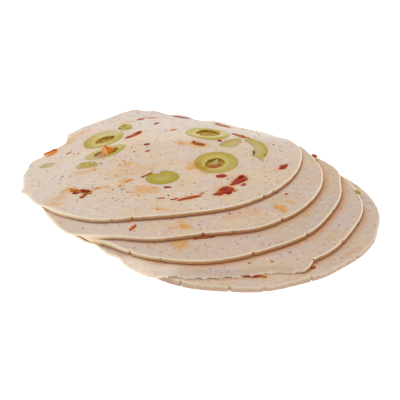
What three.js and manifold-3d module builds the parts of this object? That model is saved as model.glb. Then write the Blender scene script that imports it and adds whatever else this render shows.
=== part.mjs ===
// Five slices of olive loaf, fanned as they come off the loaf: a pale cooked sausage set with green olives
// and red pimento. Slice 1 lies flat at the front right. Each further slice lies on the ones before it, a
// step back and to the left, and drapes over their edges down to the table. The olives and pimento that show
// in the top slice run right through it, each in a pocket of its own.
// Millimetres, +Z up, +Y away from the viewer. The origin is the middle of the fan's base.
import * as THREE from "three";
import { mergeVertices } from "three/addons/utils/BufferGeometryUtils.js";
import Module from "manifold-3d";

const wasm = await Module();
wasm.setup();

// Driving dimensions of a slice and of the fan.
const LOAF_RADIUS = 56;
const SLICE_THICKNESS = 1.75;
const SLICE_GAP = 0.3;
const SINK_START = 1; // a slice starts to sink this far inside an edge below it
const SINK_WIDTH = 14; // and has come down by one step over this width
const RIM_STEP = 4; // degrees between two points of a rim
const DRAPE_STEP = 7.6; // side of the triangles that a draped face is made of
const POCKET_GAP = 0.3; // between an olive or pimento piece and the meat round it

// Short radial cuts in the rims, where the casing was scored, and the teeth of the torn edge.
const CUT_HALF_ANGLE = 0.8;
const CUT_DEPTH = 1.9;
const CUT_CLEARANCE = 1.6; // degrees kept free of other rim points beside a cut
const TOOTH_ANGLE = 2.6;
const TOOTH_DEPTH = 1.3;

// The slices from the bottom up. A bulge is how the rim departs from the round: [angle, half width in
// degrees, millimetres outwards], and a negative one is a flat or a dent. A cut is the angle at which it
// runs in.
const SLICES = [
  {
    centre: [7.8, -6.5],
    bulges: [
      [92, 56, -6], [190, 40, -2], [227, 30, -6.9], [250, 16, -1.1], [284, 20, 1.9], [304, 14, 1],
      [350, 12, -0.6],
    ],
    cuts: [254, 271, 283, 301, 324, 353],
  },
  {
    centre: [2.1, -2.7],
    bulges: [[97, 50, -1], [186, 44, -4.7], [226, 18, -7.3], [250, 9, 2.4], [302, 10, 4.2], [338, 24, -1.5]],
    cuts: [309, 328],
    torn: [242, 301],
  },
  {
    centre: [-5, 7],
    bulges: [
      [18, 16, 2.1], [182, 46, -4.9], [208, 26, -0.8], [235, 20, -2.8], [276, 28, 2.5], [338, 26, -1.4],
    ],
    cuts: [249, 261, 293, 318],
  },
  {
    centre: [-11.4, 17],
    bulges: [[172, 48, -7], [208, 20, -3.2], [237, 18, 3.8], [283, 24, -3.5], [20, 20, -1.2]],
    cuts: [283, 294, 315],
  },
  {
    centre: [-18.6, 30.9],
    bulges: [
      [14, 12, -1.9], [30, 14, -0.3], [50, 18, -3.1], [70, 7, -2.6], [80, 7, 2], [94, 4, -2.1], [96, 16, 7.9],
      [108, 9, 1], [146, 14, -3], [158, 52, -12.9], [171, 8, 2.3], [200, 24, -4.3], [222, 18, -1],
      [247, 24, 5.6], [284, 22, -1.1],
    ],
    cuts: [257, 264, 317, 322],
  },
];
const TOP = SLICES.length - 1;

// Everything below is placed from the centre of the slice that it is in: at, long x short, and the turn of
// its long side from +X in degrees. An edge power of 2 is an oval, and a higher one is squarer.
const OLIVE_RINGS = [
  {
    name: "olive_ring_rear_left", at: [-19.5, 23.2], size: [24.6, 13.5], turn: 73,
    hole: { at: [-18.8, 22.1], size: [10, 5.2], turn: 56 },
  },
  {
    name: "olive_ring_left", at: [-17.9, 2.3], size: [20.2, 10.8], turn: 54,
    hole: { at: [-17.5, 1.2], size: [12.2, 5.4], turn: 52 },
  },
  {
    name: "olive_ring_front", at: [23.8, -9.5], size: [19.4, 16], turn: 83,
    hole: { at: [23.3, -10.1], size: [9.6, 7.4], turn: 77 },
  },
  {
    name: "olive_ring_rear_right", at: [20.7, 22.9], size: [23.6, 15.7], turn: 111,
    hole: { at: [20.9, 23.7], size: [14, 8.4], turn: 101 },
  },
];
const OLIVE_STUFFINGS = [
  { name: "stuffing_left", at: [-17.5, 1.2], size: [11.4, 4.6], turn: 52 },
  { name: "stuffing_front", at: [23.1, -11.8], size: [6, 3.4], turn: 5 },
];
const OLIVE_PIECES = [
  { name: "olive_cap", at: [4.1, -23.2], size: [12.7, 11], turn: 44 },
  { name: "olive_block", at: [-24.1, -11.6], size: [7.5, 5.6], turn: 4, power: 3.4 },
  { name: "olive_chip_left", at: [-39.7, -1.5], size: [5.3, 3.9], turn: 155, power: 2.6 },
  { name: "olive_chip_rear", at: [-11.6, 38.7], size: [9, 4.6], turn: 87 },
];
// One olive cut off centre, broken into two curved pieces: a band along part of an oval.
const BROKEN_OLIVE = { at: [33.7, 1.7], size: [23.6, 19.2], turn: 90, band: 4.6 };
const OLIVE_ARCS = [
  { name: "olive_arc_long", from: 210, to: 350 },
  { name: "olive_arc_short", from: 4, to: 64 },
];
const PIMENTO_PIECES = [
  { name: "pimento_1", at: [31.6, -25.8], size: [9.6, 3.4], turn: 58 },
  { name: "pimento_2", at: [26.4, -35.1], size: [8.3, 3.6], turn: 55, power: 2.6 },
  { name: "pimento_3", at: [25.5, -21.9], size: [3.9, 2.7], turn: 24, power: 2.6 },
  { name: "pimento_4", at: [48.2, -13.8], size: [4.3, 2.5], turn: 66 },
  { name: "pimento_5", at: [14, -40.9], size: [9.4, 2], turn: 27 },
  { name: "pimento_6", at: [-7.9, 25.7], size: [10.8, 2.5], turn: 59 },
  { name: "pimento_7", at: [17.4, 7.7], size: [4.8, 2.6], turn: 150 },
  { name: "pimento_8", at: [-24.6, -36.2], size: [9.2, 3.6], turn: 137 },
  { name: "pimento_9", at: [-38.9, 12], size: [6.6, 3], turn: 63 },
  { name: "pimento_10", at: [26.6, 40.5], size: [10.2, 2.3], turn: 124 },
  { name: "pimento_11", at: [32.9, 17.9], size: [9.2, 2.6], turn: 119 },
  { name: "pimento_12", slice: 0, at: [8.7, -48.8], size: [7.6, 3], turn: 168 },
];
const RING_SIDES = 26;
const HOLE_SIDES = 16;
const PIECE_SIDES = 12;
const ARC_STEPS = 10;

const radians = THREE.MathUtils.degToRad;

// 1 at an angle, fading to 0 at a half width on either side of it.
function bulge(angle, at, halfWidth) {
  const off = Math.abs(((angle - at + 540) % 360) - 180);
  return off < halfWidth ? Math.cos((Math.PI / 2) * (off / halfWidth)) ** 2 : 0;
}

function rimRadius(slice, angle) {
  const outwards = slice.bulges.map(([at, halfWidth, out]) => out * bulge(angle, at, halfWidth));
  return outwards.reduce((radius, out) => radius + out, LOAF_RADIUS);
}

// How far a place is inside a slice's rim, and negative outside it.
function depthInside(slice, x, y) {
  const dx = x - slice.centre[0];
  const dy = y - slice.centre[1];
  const angle = THREE.MathUtils.radToDeg(Math.atan2(dy, dx)) + 360;
  return rimRadius(slice, angle % 360) - Math.hypot(dx, dy);
}

// The height of a slice's underside: one step up for each slice below it, eased down past that slice's edge.
function underside(level, x, y) {
  let height = 0;
  for (const below of SLICES.slice(0, level)) {
    const held = THREE.MathUtils.smoothstep(depthInside(below, x, y), SINK_START - SINK_WIDTH, SINK_START);
    height += (SLICE_THICKNESS + SLICE_GAP) * held;
  }
  return height;
}

function rimPoint(slice, angle, cutIn) {
  const radius = rimRadius(slice, angle) - cutIn;
  const [x, y] = slice.centre;
  return new THREE.Vector2(x + radius * Math.cos(radians(angle)), y + radius * Math.sin(radians(angle)));
}

// A rim seen from above: even steps, the cuts, and uneven teeth along a torn stretch.
function rimOutline(slice) {
  const marks = [];
  const [tornFrom, tornTo] = slice.torn ?? [0, 0];
  for (let angle = 0; angle < 360; angle += RIM_STEP) {
    const beside = slice.cuts.some((at) => Math.abs(angle - at) < CUT_CLEARANCE);
    const torn = angle > tornFrom && angle < tornTo;
    if (!beside && !torn) marks.push([angle, 0]);
  }
  for (const at of slice.cuts) {
    marks.push([at - CUT_HALF_ANGLE, 0], [at, CUT_DEPTH], [at + CUT_HALF_ANGLE, 0]);
  }
  for (let angle = tornFrom + TOOTH_ANGLE, k = 0; angle < tornTo; angle += TOOTH_ANGLE / 2, k += 1) {
    const bite = k % 2 ? TOOTH_DEPTH * (0.5 + 0.5 * Math.sin(k * k)) : 0;
    marks.push([angle, bite]);
  }
  marks.sort((a, b) => a[0] - b[0]);
  return marks.map(([angle, cutIn]) => rimPoint(slice, angle, cutIn));
}

const rims = SLICES.map(rimOutline);
const reach = new THREE.Box2().setFromPoints(rims.flat());
const middle = reach.getCenter(new THREE.Vector2());
const ABOVE_ALL = SLICES.length * (SLICE_THICKNESS + SLICE_GAP) + 1;

// A geometry as a solid that can be joined and cut.
function solid(geometry) {
  geometry.deleteAttribute("normal");
  geometry.deleteAttribute("uv");
  const merged = mergeVertices(geometry);
  const mesh = new wasm.Mesh({
    numProp: 3,
    vertProperties: merged.attributes.position.array,
    triVerts: new Uint32Array(merged.index.array),
  });
  return new wasm.Manifold(mesh);
}

// An upright column that has an outline all the way up, taller than the fan at both ends.
function column(points) {
  const height = { depth: ABOVE_ALL + 1, bevelEnabled: false };
  const geometry = new THREE.ExtrudeGeometry(new THREE.Shape(points), height);
  return solid(geometry.translate(0, 0, -1));
}

// The layer that one level of the fan fills, over the whole fan: two draped faces, SLICE_THICKNESS apart. All
// levels share one net of triangles, so no two of them meet.
function layer(level) {
  const rowStep = (DRAPE_STEP * Math.sqrt(3)) / 2;
  const columns = Math.ceil((reach.max.x - reach.min.x) / DRAPE_STEP) + 3;
  const rows = Math.ceil((reach.max.y - reach.min.y) / rowStep) + 3;
  const bottom = [];
  const top = [];
  for (let row = 0; row < rows; row += 1) {
    for (let col = 0; col < columns; col += 1) {
      const x = reach.min.x + (col - 1 - (row % 2) / 2) * DRAPE_STEP;
      const y = reach.min.y + (row - 1) * rowStep;
      const z = underside(level, x, y);
      bottom.push(x, y, z);
      top.push(x, y, z + SLICE_THICKNESS);
    }
  }
  const below = (row, col) => row * columns + col;
  const above = (row, col) => rows * columns + below(row, col);
  const index = [];
  for (let row = 0; row + 1 < rows; row += 1) {
    for (let col = 0; col + 1 < columns; col += 1) {
      // An odd row starts half a step to the left, so the diagonal changes side from row to row.
      const corners = row % 2
        ? [[row, col], [row, col + 1], [row + 1, col], [row + 1, col], [row, col + 1], [row + 1, col + 1]]
        : [[row, col], [row, col + 1], [row + 1, col + 1], [row, col], [row + 1, col + 1], [row + 1, col]];
      index.push(...corners.map(([r, c]) => above(r, c)));
      index.push(...corners.reverse().map(([r, c]) => below(r, c)));
    }
  }
  const wall = (a, b) => {
    index.push(below(...a), below(...b), above(...b), below(...a), above(...b), above(...a));
  };
  for (let col = 0; col + 1 < columns; col += 1) {
    wall([0, col], [0, col + 1]);
    wall([rows - 1, col + 1], [rows - 1, col]);
  }
  for (let row = 0; row + 1 < rows; row += 1) {
    wall([row, columns - 1], [row + 1, columns - 1]);
    wall([row + 1, 0], [row, 0]);
  }
  const geometry = new THREE.BufferGeometry();
  geometry.setAttribute("position", new THREE.Float32BufferAttribute([...bottom, ...top], 3));
  geometry.setIndex(index);
  return solid(geometry);
}

// The bottom layer has nothing under it, so it is a plain flat slab.
function bottomLayer() {
  const size = reach.getSize(new THREE.Vector2()).addScalar(2 * DRAPE_STEP);
  const slab = new THREE.BoxGeometry(size.x, size.y, SLICE_THICKNESS);
  return solid(slab.translate(middle.x, middle.y, SLICE_THICKNESS / 2));
}

const layers = SLICES.map((_, level) => (level ? layer(level) : bottomLayer()));

// The point at an angle round a turned oval, power 2, or a squarer outline.
function ovalPoint({ at, size, turn, power = 2 }, centre, angle, grow = 0) {
  const square = (value) => Math.sign(value) * Math.abs(value) ** (2 / power);
  return new THREE.Vector2(
    (size[0] / 2 + grow) * square(Math.cos(radians(angle))),
    (size[1] / 2 + grow) * square(Math.sin(radians(angle))),
  )
    .rotateAround(new THREE.Vector2(), radians(turn))
    .add(new THREE.Vector2(at[0] + centre[0], at[1] + centre[1]));
}

function oval(shape, centre, sides, grow = 0) {
  const angles = Array.from({ length: sides }, (_, k) => ((k + 0.5) * 360) / sides);
  return angles.map((angle) => ovalPoint(shape, centre, angle, grow));
}

// A band along the outside of an oval, between two angles.
function arcBand({ band, ...shape }, { from, to }, centre, grow = 0) {
  const innerRadius = (shape.size[0] + shape.size[1]) / 4 - band;
  const ends = THREE.MathUtils.radToDeg(grow / innerRadius);
  const step = (to - from + 2 * ends) / (ARC_STEPS - 1);
  const angles = Array.from({ length: ARC_STEPS }, (_, k) => from - ends + step * k);
  const outer = angles.map((angle) => ovalPoint(shape, centre, angle, grow));
  const inner = angles.map((angle) => ovalPoint(shape, centre, angle, -band - grow));
  return [...outer, ...inner.reverse()];
}

// The finishes, taken from the photograph.
const meat = { color: 0xcfb4a0, roughness: 0.5, metalness: 0 };
const olive = { color: 0xbcac66, roughness: 0.35, metalness: 0 };
const pimento = { color: 0x9a3a28, roughness: 0.3, metalness: 0 };

const fan = new THREE.Group();
fan.position.set(-middle.x, -middle.y, 0);

function addMesh(name, body, finish) {
  const { vertProperties, triVerts } = body.getMesh();
  const geometry = new THREE.BufferGeometry();
  geometry.setAttribute("position", new THREE.BufferAttribute(vertProperties, 3));
  geometry.setIndex(new THREE.BufferAttribute(triVerts, 1));
  geometry.computeVertexNormals();
  const mesh = new THREE.Mesh(geometry, new THREE.MeshStandardMaterial(finish));
  mesh.name = name;
  fan.add(mesh);
}

const slices = layers.map((body, level) => body.intersect(column(rims[level])));

// Lets a piece into the slice that it belongs to: its solid, and a pocket with a gap all round it.
function letIn(name, level, finish, outlineFor) {
  slices[level] = slices[level].subtract(column(outlineFor(POCKET_GAP)));
  addMesh(name, layers[level].intersect(column(outlineFor(0))), finish);
}

for (const { name, hole, ...ring } of OLIVE_RINGS) {
  const { centre } = SLICES[TOP];
  slices[TOP] = slices[TOP].subtract(column(oval(ring, centre, RING_SIDES, POCKET_GAP)));
  const band = column(oval(ring, centre, RING_SIDES)).subtract(column(oval(hole, centre, HOLE_SIDES)));
  addMesh(name, layers[TOP].intersect(band), olive);
}
for (const { name, ...core } of OLIVE_STUFFINGS) {
  addMesh(name, layers[TOP].intersect(column(oval(core, SLICES[TOP].centre, PIECE_SIDES))), pimento);
}
for (const { name, ...piece } of OLIVE_PIECES) {
  letIn(name, TOP, olive, (gap) => oval(piece, SLICES[TOP].centre, PIECE_SIDES, gap));
}
for (const { name, ...arc } of OLIVE_ARCS) {
  letIn(name, TOP, olive, (gap) => arcBand(BROKEN_OLIVE, arc, SLICES[TOP].centre, gap));
}
for (const { name, slice: level = TOP, ...piece } of PIMENTO_PIECES) {
  letIn(name, level, pimento, (gap) => oval(piece, SLICES[level].centre, PIECE_SIDES, gap));
}
slices.forEach((body, level) => addMesh(`slice_${level + 1}`, body, meat));

const group = new THREE.Group();
group.add(fan);

export default group;
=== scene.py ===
# %% [markdown]
# # Five slices of olive loaf
# The measured model of the fan of slices is loaded first and stays as it is. Every cell after this one
# models one thing of the real food in finer detail, in the same place, and then gives it its finish.
# Lengths are worked out in millimetres and turned into Blender's metres when a mesh is made.

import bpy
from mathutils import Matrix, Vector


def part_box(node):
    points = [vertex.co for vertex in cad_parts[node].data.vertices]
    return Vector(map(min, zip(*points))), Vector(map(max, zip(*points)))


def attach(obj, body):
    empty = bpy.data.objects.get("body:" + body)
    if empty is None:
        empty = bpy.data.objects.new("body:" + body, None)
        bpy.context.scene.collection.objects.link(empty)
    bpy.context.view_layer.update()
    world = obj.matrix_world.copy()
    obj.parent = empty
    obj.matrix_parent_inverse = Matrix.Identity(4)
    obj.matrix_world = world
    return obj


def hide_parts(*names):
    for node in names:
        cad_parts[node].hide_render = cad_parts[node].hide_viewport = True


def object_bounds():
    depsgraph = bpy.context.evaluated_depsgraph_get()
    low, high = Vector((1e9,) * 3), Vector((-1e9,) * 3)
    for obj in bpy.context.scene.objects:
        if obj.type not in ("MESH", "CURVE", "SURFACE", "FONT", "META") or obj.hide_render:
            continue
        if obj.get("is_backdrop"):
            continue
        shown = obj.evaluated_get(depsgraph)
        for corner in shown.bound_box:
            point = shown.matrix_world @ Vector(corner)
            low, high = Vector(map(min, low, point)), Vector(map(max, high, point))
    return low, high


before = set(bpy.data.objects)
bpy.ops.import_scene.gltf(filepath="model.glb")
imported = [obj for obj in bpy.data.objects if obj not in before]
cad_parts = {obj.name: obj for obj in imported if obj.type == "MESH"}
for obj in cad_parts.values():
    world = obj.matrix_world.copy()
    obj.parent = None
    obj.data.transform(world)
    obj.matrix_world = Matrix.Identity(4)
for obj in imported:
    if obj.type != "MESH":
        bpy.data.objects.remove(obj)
cad_low, cad_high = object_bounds()
print("measured model from", tuple(cad_low), "to", tuple(cad_high))

# %% Modules and the unit
import math

import bpy
import numpy as np
from mathutils import Vector
from mathutils.geometry import delaunay_2d_cdt

MM = 0.001
print("nodes in the model:", len(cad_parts))

# %% [markdown]
# ## How thick a slice is
# The slices are all cut on one machine, so they share one thickness. It could be typed in here, but reading
# it off the model's boxes keeps the two in step: the bottom slice lies flat, so its height is the
# thickness, and the top of the fan gives the step from one slice to the next.

# %% Thickness of a slice and the step between slices
def box_mm(node):
    low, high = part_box(node)
    return np.array(low) / MM, np.array(high) / MM


THICKNESS = box_mm("slice_1")[1][2]
TOP = 4
STEP = (box_mm("slice_5")[1][2] - THICKNESS) / TOP
print("thickness", round(THICKNESS, 3), "mm, step", round(STEP, 3), "mm")

# %% [markdown]
# ## The outlines of the slices
# A slice is round, because the loaf was cooked in a round casing, but soft: each one has its own flats and
# bulges. A circle whose radius swells or shrinks near chosen angles describes that with a few numbers, each
# bulge being an angle, half its width in degrees and how far out it goes. Drawing each outline point by
# point would need hundreds of numbers. The angles of the short cuts, where the casing was scored, are kept
# with the slice, and so is the stretch of rim that has torn.

# %% Outlines, from the bottom slice to the top one
LOAF_RADIUS = 56.0
SLICES = [
    {
        "centre": (7.8, -6.5),
        "bulges": [
            (92, 56, -6), (190, 40, -2), (227, 30, -6.9), (250, 16, -1.1), (284, 20, 1.9), (304, 14, 1),
            (350, 12, -0.6),
        ],
        "cuts": [254, 271, 283, 301, 324, 353],
    },
    {
        "centre": (2.1, -2.7),
        "bulges": [
            (97, 50, -1), (186, 44, -4.7), (226, 18, -7.3), (250, 9, 2.4), (302, 10, 4.2), (338, 24, -1.5),
            (226, 9, 2.4), (211, 6, -1.2), (225, 8, 0.6), (230.5, 6, 0.9),
        ],
        "cuts": [309, 328],
    },
    {
        "centre": (-5.0, 7.0),
        "bulges": [
            (18, 16, 2.1), (182, 46, -4.9), (208, 26, -0.8), (235, 20, -2.8), (276, 28, 2.5), (338, 26, -1.4),
            (241, 18, -0.9), (221, 9, -1.3),
        ],
        "cuts": [249, 261, 293, 318],
    },
    {
        "centre": (-11.4, 17.0),
        "bulges": [
            (172, 48, -7), (208, 20, -3.2), (237, 18, 3.8), (283, 24, -3.5), (20, 20, -1.2), (241, 8, -0.5),
        ],
        "cuts": [283, 294, 315],
    },
    {
        "centre": (-18.6, 30.9),
        "bulges": [
            (14, 12, -1.9), (30, 14, -0.3), (50, 18, -3.1), (70, 7, -2.6), (80, 7, 2), (94, 4, -2.1),
            (96, 16, 7.9), (108, 9, 1), (146, 14, -3), (158, 52, -12.9), (171, 8, 2.3), (200, 24, -4.3),
            (222, 18, -1), (247, 24, 5.6), (284, 22, -1.1), (134, 4, 0.8), (204, 4, 1.1), (214, 11, -0.9),
            (238, 16, -0.6),
        ],
        "cuts": [257, 264, 317, 322],
    },
]
CENTRES = np.array([each["centre"] for each in SLICES])


def rim_radius(level, degrees):
    """How far the rim is from the slice's middle at each angle."""
    radius = np.full(np.shape(degrees), LOAF_RADIUS)
    for at, half_width, out in SLICES[level]["bulges"]:
        off = np.abs((degrees - at + 540) % 360 - 180)
        bulge = np.cos(np.pi / 2 * np.clip(off / half_width, 0, 1)) ** 2
        radius = radius + out * bulge
    return radius


all_round = np.arange(0.0, 360.0, 0.5)
for level in range(TOP + 1):
    radii = rim_radius(level, all_round)
    print(f"slice {level + 1}: radius {radii.min():.1f} to {radii.max():.1f} mm")

# %% [markdown]
# ## Where the fan stands
# The model's origin is the middle of the fan's base, while the outlines above are placed from a point of
# their own. The bottom slice's box in the model, set against the same slice's outline, gives the shift
# between the two. Every place below is then counted from the middle of the slice that the thing is in, as a
# cook would.

# %% Shift from the outlines' own point to the model's origin
def rim_xy(level, degrees):
    angle = np.radians(degrees)
    way = np.stack([np.cos(angle), np.sin(angle)], axis=-1)
    return CENTRES[level] + way * rim_radius(level, degrees)[..., None]


outline = rim_xy(0, all_round)
low, high = box_mm("slice_1")
SHIFT = (low[:2] + high[:2]) / 2 - (outline.min(0) + outline.max(0)) / 2
MIDDLES = CENTRES + SHIFT  # the slices' middles, counted from the model's origin
print("shift", SHIFT.round(3), "mm")

# %% [markdown]
# ## How a slice lies on the ones below
# A soft slice lies level where others carry it, and sinks to the table past their edges. Blender's cloth
# could find that shape, but it would come out a little different from the measured model. The rule used
# here is the model's own: each slice below lifts the one above by a step, and past its rim the lift eases
# away.

# %% Height of the underside of a slice
SINK_START = 1.0  # a slice starts to sink this far inside an edge below it
SINK_WIDTH = 14.0  # and has come down by one step over this width


def ease(value, start, end):
    t = np.clip((value - start) / (end - start), 0, 1)
    return t * t * (3 - 2 * t)


def between(value, start, end, rise, fall):
    """1 from start to end, easing in over the first stretch and out over the last one."""
    return ease(value, start, start + rise) * ease(-value, -end, fall - end)


def depth_inside(level, x, y):
    """How far a place is inside the rim of a slice, and negative outside it."""
    dx = x - CENTRES[level][0]
    dy = y - CENTRES[level][1]
    degrees = np.degrees(np.arctan2(dy, dx)) % 360
    return rim_radius(level, degrees) - np.hypot(dx, dy)


def local_depth(rim_of, level, local):
    """The same for places counted from the middle of one slice, and for the rim of that slice or another."""
    x, y = (local + CENTRES[level]).T
    return depth_inside(rim_of, x, y)


def bearing_of(local):
    """The angle in degrees at which a place lies from the middle."""
    return np.degrees(np.arctan2(local[:, 1], local[:, 0])) % 360


def underside(level, x, y):
    height = np.zeros(np.shape(x))
    for below in range(level):
        height = height + STEP * ease(depth_inside(below, x, y), SINK_START - SINK_WIDTH, SINK_START)
    return height


front_x, front_y = rim_xy(TOP, np.array([270.0]))[0]
print("front rim of the top slice lies", round(float(underside(TOP, front_x, front_y)), 2), "mm up")

# %% [markdown]
# ## Small unevenness
# Nothing in food is perfectly smooth. One helper gives gentle hills of any width, the same every time
# because its random numbers are seeded. It is used for the waves in the slices, for ragged edges and for
# stains. A noise texture in a Displace modifier would do it too, but a helper can also be asked for a
# single point.

# %% Gentle hills over the plan
def hills(x, y, width, seed):
    """Smooth random heights from -1 to 1, with hills about one width apart."""
    table = np.random.default_rng(seed).uniform(-1, 1, (64, 64))
    u = np.asarray(x, float) / width
    v = np.asarray(y, float) / width
    i = np.floor(u).astype(int)
    j = np.floor(v).astype(int)
    fu = (u - i) ** 2 * (3 - 2 * (u - i))
    fv = (v - j) ** 2 * (3 - 2 * (v - j))
    near = table[i % 64, j % 64] * (1 - fu) + table[(i + 1) % 64, j % 64] * fu
    far = table[i % 64, (j + 1) % 64] * (1 - fu) + table[(i + 1) % 64, (j + 1) % 64] * fu
    return near * (1 - fv) + far * fv


WAVE_HEIGHT = 0.16
WAVE_WIDTH = 23
RIPPLE_WIDTH = 11


def waves(level, x, y):
    """Slow waves that run through the whole fan, fading to nothing where a slice lies on the table."""
    lift = underside(level, x, y) / (TOP * STEP)
    return WAVE_HEIGHT * lift * (hills(x, y, WAVE_WIDTH, 5) + 0.5 * hills(x, y, RIPPLE_WIDTH, 6))


print("wave at the middle of the top slice", waves(TOP, np.array([-18.0]), np.array([30.0])).round(3), "mm")

# %% [markdown]
# ## A shell to collect points in
# A fine mesh with rims, pockets and painted values is easiest to make from arrays: points go in row by row,
# faces join the rows, and painted values, such as how oily a place is, ride along with the points. The
# shell below keeps them until Blender makes the mesh in one go, which is much faster than adding faces one
# by one.

# %% The shell
class Shell:
    def __init__(self):
        self.points = []
        self.faces = []
        self.paints = {}
        self.count = 0

    def add(self, points, **paints):
        """Adds points with their painted values, and gives back their numbers."""
        points = np.asarray(points, float)
        numbers = np.arange(self.count, self.count + len(points))
        self.points.append(points)
        for name in {**self.paints, **paints}:
            before = self.paints.setdefault(name, [np.zeros(self.count)])
            before.append(np.broadcast_to(paints.get(name, 0.0), len(points)).astype(float))
        self.count += len(points)
        return numbers

    def strip(self, rows):
        """Joins closed rows of points, each to the next, by four-sided faces."""
        for a, b in zip(rows[:-1], rows[1:]):
            a_next, b_next = np.roll(a, -1), np.roll(b, -1)
            self.faces.extend(np.stack([a, a_next, b_next, b], axis=1).tolist())

    def fan_in(self, row, centre, **paints):
        """Closes a row with triangles to a point in its middle."""
        middle = self.add([centre], **paints)[0]
        for a, b in zip(row, np.roll(row, -1)):
            self.faces.append([int(a), int(b), int(middle)])

    def to_object(self, name, material):
        points = np.concatenate(self.points) * MM
        mesh = bpy.data.meshes.new(name)
        mesh.from_pydata(points.tolist(), [], [list(map(int, face)) for face in self.faces])
        mesh.update()
        for paint, parts in self.paints.items():
            values = np.concatenate(parts)
            attribute = mesh.attributes.new(paint, "FLOAT", "POINT")
            attribute.data.foreach_set("value", values.astype(np.float32))
        mesh.polygons.foreach_set("use_smooth", [True] * len(mesh.polygons))
        mesh.materials.append(material)
        made = bpy.data.objects.new(name, mesh)
        bpy.context.scene.collection.objects.link(made)
        print(name, len(mesh.vertices), "points,", len(mesh.polygons), "faces")
        return made


print("shell ready")

# %% [markdown]
# ## Outlines of the olives and the pimento
# A stuffed olive cut across gives a ring, cut near its end a plain disc, and cut lengthwise an arc. All of
# them start as ovals. Pieces of pimento are torn, so their oval is drawn to a tail at one end, bent, and
# made ragged. Where a piece has broken away, a round bite is taken out of the outline. One helper draws
# them all from a few sizes, which keeps each piece easy to change.

# %% Outline of a piece
def turned(at, x, y, turn):
    """An outline's points, turned by an angle and set round a middle."""
    c, s = math.cos(math.radians(turn)), math.sin(math.radians(turn))
    return np.stack([at[0] + x * c - y * s, at[1] + x * s + y * c], axis=1)


def piece_loop(
    at, size, turn, sides=40, power=2.0, taper=0.0, bend=0.0, ragged=0.0, seed=0, grow=0.0, bite=None
):
    """A closed outline, from above, counted from the middle of the slice."""
    angle = np.arange(sides) * 2 * np.pi / sides
    long_way = np.sign(np.cos(angle)) * np.abs(np.cos(angle)) ** (2 / power)
    short_way = np.sign(np.sin(angle)) * np.abs(np.sin(angle)) ** (2 / power)
    x = (size[0] / 2) * long_way
    y = (size[1] / 2) * short_way * (1 + taper * long_way)
    y = y + bend * size[0] * (0.33 - long_way**2) / 2
    if ragged:
        round_x, round_y = 6 * np.cos(angle) + 20, 6 * np.sin(angle) + 20
        push = ragged * (hills(round_x, round_y, 3.1, seed) + 0.5 * hills(round_x, round_y, 1.3, seed + 1))
        x = x + push * np.cos(angle)
        y = y + push * np.sin(angle)
    loop = turned(at, x, y, turn)
    if bite:
        loop = bitten(loop, np.array(at), *bite)
    return grown(loop, grow) if grow else loop


def bitten(loop, middle, centre, radius):
    """Moves the points that are within a circle towards the middle of the piece, to the circle's far side."""
    way = (middle - loop) / np.linalg.norm(middle - loop, axis=1, keepdims=True)
    offset = loop - centre
    along = (offset * way).sum(axis=1)
    spare = radius**2 - (offset**2).sum(axis=1)
    far = np.sqrt(np.maximum(along**2 + spare, 0)) - along
    return loop + way * np.where(spare > 0, far, 0.0)[:, None]


def grown(loop, by):
    """The same outline, moved outwards by a distance."""
    along = np.roll(loop, -1, axis=0) - np.roll(loop, 1, axis=0)
    out = np.stack([along[:, 1], -along[:, 0]], axis=1)
    return loop + by * out / np.linalg.norm(out, axis=1, keepdims=True)


test_loop = piece_loop((0, 0), (10, 5), 30)
print("a 10 x 5 mm oval turned 30 degrees spans", np.ptp(test_loop, axis=0).round(2), "mm")

# %% Sizes of the olives: at, long x short, and the turn of the long side
RINGS = {
    "olive_ring_rear_left": dict(at=(-19.5, 23.2), size=(24.8, 13.7), turn=73),
    "olive_ring_left": dict(at=(-17.9, 2.3), size=(20.4, 11.0), turn=54),
    "olive_ring_front": dict(at=(23.8, -9.5), size=(19.6, 16.2), turn=83),
    "olive_ring_rear_right": dict(at=(20.7, 22.9), size=(23.8, 15.9), turn=111),
}
HOLES = {
    "olive_ring_rear_left": dict(at=(-18.8, 22.1), size=(10.2, 5.4), turn=56),
    "olive_ring_left": dict(at=(-17.5, 1.2), size=(12.2, 5.5), turn=52),
    "olive_ring_front": dict(at=(23.3, -10.1), size=(9.6, 7.4), turn=77),
    "olive_ring_rear_right": dict(at=(20.9, 23.7), size=(14.2, 8.7), turn=101),
}
OLIVE_PIECES = {
    "olive_cap": dict(at=(4.1, -23.2), size=(12.9, 11.2), turn=44, sides=72, bite=((1.5, -17.9), 2.0)),
    "olive_block": dict(at=(-24.1, -11.7), size=(7.9, 5.6), turn=20, power=2.9, ragged=0.45, seed=31),
    "olive_chip_left": dict(at=(-39.7, -1.5), size=(5.5, 4.1), turn=155, power=2.6, ragged=0.2, seed=33),
    "olive_chip_rear": dict(at=(-11.6, 38.7), size=(9.4, 4.8), turn=87, ragged=0.3, seed=35),
}
BROKEN_OLIVE = dict(at=(33.7, 1.7), size=(23.6, 19.2), turn=90)
ARCS = {  # from angle, to angle, width of the band at each
    "olive_arc_long": (226, 350, 4.2, 3.4),
    "olive_arc_short": (4, 66, 4.2, 5.6),
}
CRACK_FROM, CRACK_TO, CRACK_WIDTH = 222.0, 284.0, 0.5
print(len(RINGS) + len(OLIVE_PIECES) + len(ARCS), "pieces of olive")

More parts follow.
